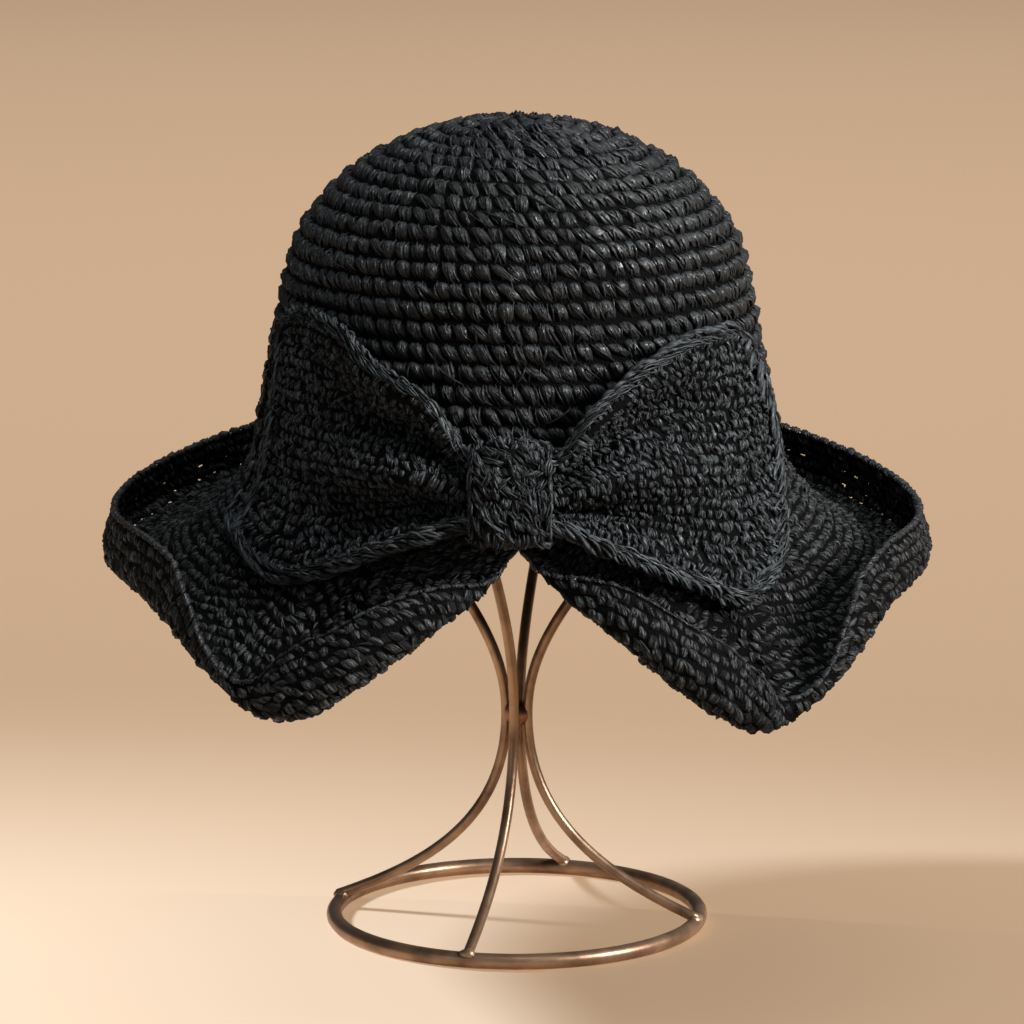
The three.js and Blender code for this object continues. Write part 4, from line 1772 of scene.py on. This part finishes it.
    def _chain(self, sheet: Sheet, mesh: StitchMesh, seats: Seats, width: float) -> None:
        """Lays a line of braid on the bow's face.

        Args:
            sheet: the bow's middle layer.
            mesh: what collects the strands.
            seats: of the braid's links.
            width: of the line.
        """
        seats.pitch = seats.pitch * width
        seats.height = seats.height * self.edging.height
        mesh.add_strands(sheet, seats, self.edging.kind, Face.OUTER, self.core + self.chain_lift)

    def build(self) -> list[bpy.types.Object]:
        """Makes the bow's core, its two faces and its braids.

        Returns:
            The pieces.
        """
        rng = np.random.default_rng(self.seed)
        sheet = self.sheet()
        seats = self.rows(sheet, rng)
        front = StitchMesh(rng)
        front.add_puffs(sheet, seats, self.kind, Face.OUTER, self.floor)
        front.add_strands(sheet, seats, self.fan, Face.OUTER, self.floor)
        self.braids(sheet, front)
        face = front.write("bow_stitches", FINE_RAFFIA)
        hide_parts("bow")
        core = write_shell("bow_core", sheet.shell((-self.core, self.core), self.core_steps), SHADED_CORE_RAFFIA)
        back = StitchMesh(rng)
        some = seats.picked(np.arange(0, len(seats.u), self.back_every))
        back.add_strands(sheet, some, self.back_kind, Face.INNER, self.floor)
        return [face, core, back.write("bow_back_stitches", FINE_RAFFIA)]


@dataclass(frozen=True)
class BowBand:
    """Band round the middle of the bow."""

    form: HatForm
    seed: int = 41
    width: float = 24.5
    half_height: float = 15.8
    half_depth: float = 6.4
    squareness: float = 3.0
    center: tuple = (-2.5, -107.3)
    tilt: float = 13.0
    swell: float = 1.8
    steps_round: int = 240
    steps_across: int = 57
    stitch_width: float = 3.3
    row_pitch: float = 3.7
    stitch_height: float = 1.7
    core: float = 0.5
    floor: float = 0.1
    edging: EdgeBraid = EdgeBraid(1.2, 4.2, 0.9)
    kind: Puff = Puff(
        6,
        lean=0.6,
        rough=0.14,
        down=(0.0, 0.16, 0.5, 0.82, 1.0),
        half_width=(0.3, 0.5, 0.56, 0.46, 0.22),
        swell=(0.0, 0.8, 1.0, 0.75, 0.0),
    )
    fan: Fan = Fan(
        4,
        lean=0.7,
        spread_top=0.9,
        spread_bottom=0.5,
        strand_width=0.15,
        strand_thickness=0.12,
        wobble=0.2,
        unruly=0.5,
        stagger=0.12,
    )
    core_steps: tuple = (4, 4)
    scatter_round: float = 2.4
    scatter_across: float = 1.3
    stitch_spread: Spread = Spread(1.05, 0.2, 0.7, 1.5)
    pitch: Spread = Spread(1.35, 0.25, 0.8, 2.0)
    height: Spread = Spread(1.0, 0.35, 0.4, 1.7)
    sway: Spread = Spread(0.6, 1.1)

    def sheet(self) -> Sheet:
        """The band's middle layer, round the bow and across its width.

        Returns:
            The sheet.
        """
        angle = np.linspace(0, 2 * math.pi, self.steps_round, endpoint=False)[:, None]
        share = np.linspace(-1, 1, self.steps_across)[None, :]
        power = 2 / self.squareness
        swell = self.swell * (1 - share * share)
        depth = -(self.half_depth + swell) * np.sign(np.cos(angle)) * np.abs(np.cos(angle)) ** power
        height = (self.half_height + swell) * np.sign(np.sin(angle)) * np.abs(np.sin(angle)) ** power
        tilt = math.radians(-self.tilt)
        y = depth * math.cos(tilt) - height * math.sin(tilt)
        z = depth * math.sin(tilt) + height * math.cos(tilt)
        x = share * self.width / 2 + 0 * angle
        points = np.stack(np.broadcast_arrays(x, y, z), -1) + np.array([*self.center, self.form.base])
        closed = np.concatenate([points, points[:1]])
        even = [evenly(closed[:, j], self.steps_round + 1)[:-1] for j in range(self.steps_across)]
        return Sheet(np.stack(even, 1), True)

    def rows(self, sheet: Sheet, rng: np.random.Generator) -> Seats:
        """Seats of rows that lie across the band, one above the other.

        Args:
            sheet: the band's middle layer.
            rng: source of the small differences between stitches.

        Returns:
            The seats.
        """
        round_length = np.linalg.norm(np.diff(sheet.points[:, 0], axis=0), axis=1).sum()
        count = int(round(round_length / self.row_pitch))
        parts = []
        v = np.arange(self.steps_across, dtype=float)
        for i in range(count):
            u = np.full(self.steps_across, i * self.steps_round / count)
            row = row_on_curve(sheet, u, v, 1.0, self.stitch_width, False)
            row.up = sheet.read(sheet.along, row.u, row.v)
            row.u = row.u + rng.normal(0, self.scatter_round, len(row.u))
            row.v = row.v + rng.normal(0, self.scatter_across, len(row.v))
            row.width = row.width * self.stitch_spread.draw(rng, len(row.u))
            row.pitch = row.pitch * round_length / count * self.pitch.draw(rng, len(row.u))
            row.height = row.height * self.stitch_height * self.height.draw(rng, len(row.u))
            row.sway = self.sway.draw(rng, len(row.u))
            parts.append(row)
        return Seats.joined(parts)

    def build(self) -> list[bpy.types.Object]:
        """Makes the band's core, its stitches and the braids along its two edges.

        Returns:
            The pieces.
        """
        rng = np.random.default_rng(self.seed)
        sheet = self.sheet()
        mesh = StitchMesh(rng)
        seats = self.rows(sheet, rng)
        mesh.add_puffs(sheet, seats, self.kind, Face.OUTER, self.floor)
        mesh.add_strands(sheet, seats, self.fan, Face.OUTER, self.floor)
        for side in (Side.FIRST_COLUMN, Side.LAST_COLUMN):
            self.edging.lay(mesh, sheet, side)
        band = mesh.write("bow_band_stitches", FINE_RAFFIA)
        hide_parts("bow_band")
        shell = sheet.shell((-self.core, self.core), self.core_steps)
        core = write_shell("bow_band_core", shell, SHADED_CORE_RAFFIA)
        return [band, core]


@dataclass(frozen=True)
class WireStand:
    """Stand: two long bent wires and a base ring, soldered where they meet."""

    top: float
    seed: int = 53
    wire_radius: float = 1.9
    ring_radius: float = 67.5
    ring_wire_radius: float = 2.9
    foot_overhang: float = 1.5
    foot_rise: float = 2.2
    wire_azimuths: tuple = (75.0, 165.0)
    waist_z: float = 78.8
    waist_radius: float = 4.0
    foot_slope: float = 22.0
    foot_handle: float = 34.0
    waist_handle_down: float = 43.0
    waist_handle_up: float = 50.0
    cage_radius: float = 70.0
    cage_z: float = 217.0
    cage_handle: float = 60.0
    quarter_arc: float = 0.5523
    waist_solder: tuple = (4.7, 4.7, 4.6)
    foot_solder: tuple = (3.0, 3.0, 2.1)
    sides: int = 16
    ring_steps: int = 180
    bend_steps: int = 60
    profile_steps: int = 150
    solder_lobes: float = 0.09
    solder_slump: float = 0.08

    def profile(self) -> np.ndarray:
        """Middle of a wire from its foot to the top of the cage, at even steps.

        Returns:
            Radius and height of each point.
        """
        slope = math.radians(self.foot_slope)
        foot = np.array([self.ring_radius + self.foot_overhang, self.ring_wire_radius + self.foot_rise])
        waist = np.array([self.waist_radius, self.waist_z])
        widest = np.array([self.cage_radius, self.cage_z])
        top_z = self.top - self.wire_radius
        top = np.array([0.0, top_z])
        footway = np.array([-math.cos(slope), math.sin(slope)])
        steps = self.bend_steps
        leg_handle = foot + footway * self.foot_handle
        legs = bezier(foot, leg_handle, waist - (0, self.waist_handle_down), waist, steps)
        neck_handle = waist + (0, self.waist_handle_up)
        neck = bezier(waist, neck_handle, widest - (0, self.cage_handle), widest, steps)
        rise = self.quarter_arc * (top_z - self.cage_z)
        inward = self.cage_radius * (1 - self.quarter_arc)
        cage = bezier(widest, widest + (0, rise), np.array([inward, top_z]), top, steps)
        return evenly(np.concatenate([legs, neck[1:], cage[1:]]), self.profile_steps)

    def tube(self, path: np.ndarray, side: np.ndarray, radius: float, closed: bool) -> tuple[np.ndarray, ...]:
        """A round tube along a path that lies in a plane.

        Args:
            path: its middle line.
            side: the plane's normal.
            radius: of the tube.
            closed: whether the path closes on itself.

        Returns:
            Points, four-sided faces and end faces.
        """
        ahead = np.roll(path, -1, 0) - np.roll(path, 1, 0) if closed else np.gradient(path, axis=0)
        way = unit(ahead)
        lift = np.cross(side, way)
        angle = np.arange(self.sides) * 2 * math.pi / self.sides
        ring = np.cos(angle)[None, :, None] * lift[:, None] + np.sin(angle)[None, :, None] * side
        points = (path[:, None] + ring * radius).reshape(-1, 3)
        count = len(path)
        rows = np.arange(count if closed else count - 1)
        here = rows[:, None] * self.sides
        there = ((rows + 1) % count)[:, None] * self.sides
        m = np.arange(self.sides)[None, :]
        n = (m + 1) % self.sides
        quads = np.stack([here + m, here + n, there + n, there + m], -1).reshape(-1, 4)
        if closed:
            return points, quads, np.zeros((0, self.sides), int)
        ring_corners = np.arange(self.sides)
        return points, quads, np.stack([ring_corners[::-1], ring_corners + (count - 1) * self.sides])

    def lump(self, center: np.ndarray, radii: tuple, rng: np.random.Generator) -> tuple[np.ndarray, ...]:
        """A rounded lump of solder.

        Args:
            center: its middle.
            radii: its half lengths along the three axes.
            rng: source of its unevenness.

        Returns:
            Points, four-sided faces and the three-sided faces at its two ends.
        """
        rings = self.sides // 2
        tilt = np.linspace(0, math.pi, rings + 2)[1:-1, None]
        turn = np.arange(self.sides)[None, :] * 2 * math.pi / self.sides
        phase = rng.uniform(0, 2 * math.pi, 3)
        level = np.sin(tilt)
        swell = 1 + self.solder_lobes * np.sin(3 * turn + phase[0]) * level
        swell = swell + self.solder_slump * np.sin(2 * tilt + turn + phase[1])
        ball = np.stack(np.broadcast_arrays(level * np.cos(turn), level * np.sin(turn), np.cos(tilt)), -1)
        points = np.concatenate([(ball * swell[..., None]).reshape(-1, 3), [(0, 0, 1), (0, 0, -1)]])
        m = np.arange(self.sides)
        n = (m + 1) % self.sides
        row = np.arange(rings - 1)[:, None] * self.sides
        quads = np.stack([row + m, row + self.sides + m, row + self.sides + n, row + n], -1).reshape(-1, 4)
        last = (rings - 1) * self.sides
        poles = rings * self.sides + np.array([0, 1])
        upper = np.stack([m, n, m * 0 + poles[0]], -1)
        lower = np.stack([last + n, last + m, m * 0 + poles[1]], -1)
        return points * np.array(radii) + center, quads, np.concatenate([upper, lower])

    @staticmethod
    def joined(name: str, parts: list[tuple[np.ndarray, ...]], finish: Finish) -> bpy.types.Object:
        """Several closed parts as one piece.

        Args:
            name: the piece's name.
            parts: points, four-sided faces and end faces of each part.
            finish: its material.

        Returns:
            The piece.
        """
        points, faces, count = [], [], 0
        for spots, quads, ends in parts:
            points.append(spots)
            faces += [quads + count, ends + count]
            count += len(spots)
        mesh = new_mesh(name, np.concatenate(points) * MM, [part for part in faces if len(part)])
        return new_object(name, mesh, finish)

    def build(self) -> list[bpy.types.Object]:
        """Makes the wires with the ring, and the solder at their feet and waist.

        Returns:
            The pieces.
        """
        rng = np.random.default_rng(self.seed)
        half = self.profile()
        parts, feet = [], []
        for azimuth in self.wire_azimuths:
            whole = np.concatenate([half, half[-2::-1] * (-1, 1)])
            path = polar(whole[:, 0], np.array(azimuth), whole[:, 1])
            side = polar(np.array(1.0), np.array(azimuth + 90.0), np.array(0.0))
            parts.append(self.tube(path, side, self.wire_radius, False))
            for turn in (0.0, 180.0):
                foot_z = np.array(self.ring_wire_radius + self.foot_rise)
                place = polar(np.array(self.ring_radius), np.array(azimuth + turn), foot_z)
                feet.append(self.lump(place, self.foot_solder, rng))
        turn = np.arange(self.ring_steps) * 360.0 / self.ring_steps
        ring = polar(np.full(self.ring_steps, self.ring_radius), turn, np.array(self.ring_wire_radius))
        parts.append(self.tube(ring, np.array([0.0, 0.0, 1.0]), self.ring_wire_radius, True))
        stand = self.joined("stand_wires", parts, BRONZE)
        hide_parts("stand")
        waist = self.lump(np.array([0.0, 0.0, self.waist_z]), self.waist_solder, rng)
        return [
            stand,
            self.joined("stand_foot_solder", feet, FOOT_SOLDER),
            self.joined("stand_waist_solder", [waist], WAIST_SOLDER),
        ]


@dataclass(frozen=True)
class SoftLamp:
    """A soft square lamp, with the length of its sides and its power in watts."""

    name: str
    place: tuple
    size: float
    power: float
    colour: tuple


@dataclass
class Studio:
    """Floor, soft lights and the camera at the photograph's angle."""

    camera_distance: float = 2.113
    camera_elevation: float = 11.33
    aim_height: float = 0.1539
    aim_side: float = -0.0018
    millimetres_per_pixel: float = 0.365
    image_pixels: int = 1024
    floor_size: float = 16.0
    target: tuple = (0.0, 0.0, 0.18)
    sun_place: tuple = (-1.5, 0.45, 1.5)
    sun_target: tuple = (-0.1, -0.55, 0.0)
    sun_power: float = 160.0
    sun_colour: tuple = (0.96, 1.0, 1.02)
    sun_radius: float = 0.2
    sun_beam: float = 40.0
    sun_blend: float = 0.4
    surround: tuple = (0.9, 0.95, 1.0)
    surround_strength: float = 0.10
    key: SoftLamp = SoftLamp("key", (1.45, -0.75, 0.95), 0.45, 48.0, (1.0, 0.99, 0.98))
    top: SoftLamp = SoftLamp("top", (0.25, -0.3, 1.6), 0.8, 11.0, (0.95, 0.98, 1.0))
    fill: SoftLamp = SoftLamp("fill", (-1.3, -1.5, 0.7), 1.0, 2.5, (0.85, 0.93, 1.0))
    wide: SoftLamp = SoftLamp("floor_wide", (0.0, 1.4, 4.2), 4.0, 160.0, (1.0, 0.78, 0.58))

    def build(self) -> None:
        """Makes the floor, lights, world and camera."""
        floor = self.floor()
        for kind in (self.key, self.top, self.fill):
            self.aim_at_floor(self.lamp(kind), floor, False)
        sun = self.sun()
        wide = self.lamp(self.wide)
        wide.data.use_shadow = False
        for lamp in (sun, wide):
            self.aim_at_floor(lamp, floor, True)
        self.world()
        self.camera()
        bpy.context.scene.view_settings.view_transform = "Standard"

    def floor(self) -> bpy.types.Object:
        """A wide plain floor.

        Returns:
            The floor.
        """
        half = self.floor_size / 2
        corners = np.array([(-half, -half, 0), (half, -half, 0), (half, half, 0), (-half, half, 0)], float)
        mesh = new_mesh("floor", corners, [np.array([[0, 1, 2, 3]])])
        floor = new_object("floor", mesh, FloorFinish("floor_pale"))
        floor.visible_diffuse = False
        return floor

    def lamp(self, kind: SoftLamp) -> bpy.types.Object:
        """Makes a soft lamp that faces the hat.

        Args:
            kind: the lamp's measures.

        Returns:
            The lamp.
        """
        data = bpy.data.lights.new(kind.name, "AREA")
        data.size = kind.size
        data.energy = kind.power
        data.color = kind.colour
        return self.hang(data, kind.place, self.target)

    @staticmethod
    def hang(data: bpy.types.Light, place: tuple, target: tuple) -> bpy.types.Object:
        """Hangs a lamp in the scene.

        Args:
            data: the lamp's settings.
            place: where it is.
            target: what it points at.

        Returns:
            The lamp.
        """
        lamp = bpy.data.objects.new(data.name, data)
        lamp.location = place
        lamp.rotation_euler = direction(np.array(target) - np.array(place))
        bpy.context.scene.collection.objects.link(lamp)
        return lamp

    def sun(self) -> bpy.types.Object:
        """The light that throws the hat's shadow on the floor near it, and fades out behind the stand.

        Returns:
            The lamp.
        """
        data = bpy.data.lights.new("floor_sun", "SPOT")
        data.energy = self.sun_power
        data.color = self.sun_colour
        data.shadow_soft_size = self.sun_radius
        data.spot_size = math.radians(self.sun_beam)
        data.spot_blend = self.sun_blend
        return self.hang(data, self.sun_place, self.sun_target)

    @staticmethod
    def aim_at_floor(lamp: bpy.types.Object, floor: bpy.types.Object, lights_floor: bool) -> None:
        """Keeps a lamp's light on the floor, or off it.

        Args:
            lamp: the lamp.
            floor: the floor.
            lights_floor: whether it lights only the floor, or all but the floor.
        """
        group = bpy.data.collections.new(lamp.name + "_reach")
        group.objects.link(floor)
        group.collection_objects[0].light_linking.link_state = "INCLUDE" if lights_floor else "EXCLUDE"
        lamp.light_linking.receiver_collection = group

    def world(self) -> None:
        """An even, dim surround."""
        world = bpy.data.worlds.new("surround")
        world.use_nodes = True
        world.node_tree.nodes["Background"].inputs["Color"].default_value = (*self.surround, 1)
        world.node_tree.nodes["Background"].inputs["Strength"].default_value = self.surround_strength
        bpy.context.scene.world = world

    def camera(self) -> None:
        """The camera, square on to the back of the hat and a little above it."""
        data = bpy.data.cameras.new("camera")
        width = self.image_pixels * self.millimetres_per_pixel * MM
        data.angle = 2 * math.atan(width / 2 / self.camera_distance)
        camera = bpy.data.objects.new("camera", data)
        tilt = math.radians(self.camera_elevation)
        back = self.camera_distance * math.cos(tilt)
        camera.location = (self.aim_side, -back, self.aim_height + self.camera_distance * math.sin(tilt))
        camera.rotation_euler = (math.pi / 2 - tilt, 0, 0)
        bpy.context.scene.collection.objects.link(camera)
        bpy.context.scene.camera = camera


def direction(aim: np.ndarray) -> tuple[float, float, float]:
    """Turn that points a lamp along a direction."""
    flat = math.hypot(aim[0], aim[1])
    return (math.atan2(flat, -aim[2]), 0.0, math.atan2(aim[1], aim[0]) - math.pi / 2)


def main() -> None:
    """Builds the pieces in order and logs each one's name and triangle count."""
    logging.basicConfig(level=logging.INFO, format="%(message)s")
    low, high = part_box("crown")
    form = HatForm(top=high.z / MM, base=low.z / MM)
    stand_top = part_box("stand")[1].z / MM
    makers = {
        Crown(form): "raffia",
        Brim(form): "raffia",
        Bow(form): "raffia_bow",
        BowBand(form): "raffia_bow",
        WireStand(stand_top): "bronze_wire",
    }
    for maker, slot in makers.items():
        for piece in maker.build():
            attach(piece, BODY)
            triangles = sum(len(face.vertices) - 2 for face in piece.data.polygons)
            LOG.info("%s: %d triangles", piece.name, triangles)
    Studio().build()


if __name__ == "__main__":
    main()
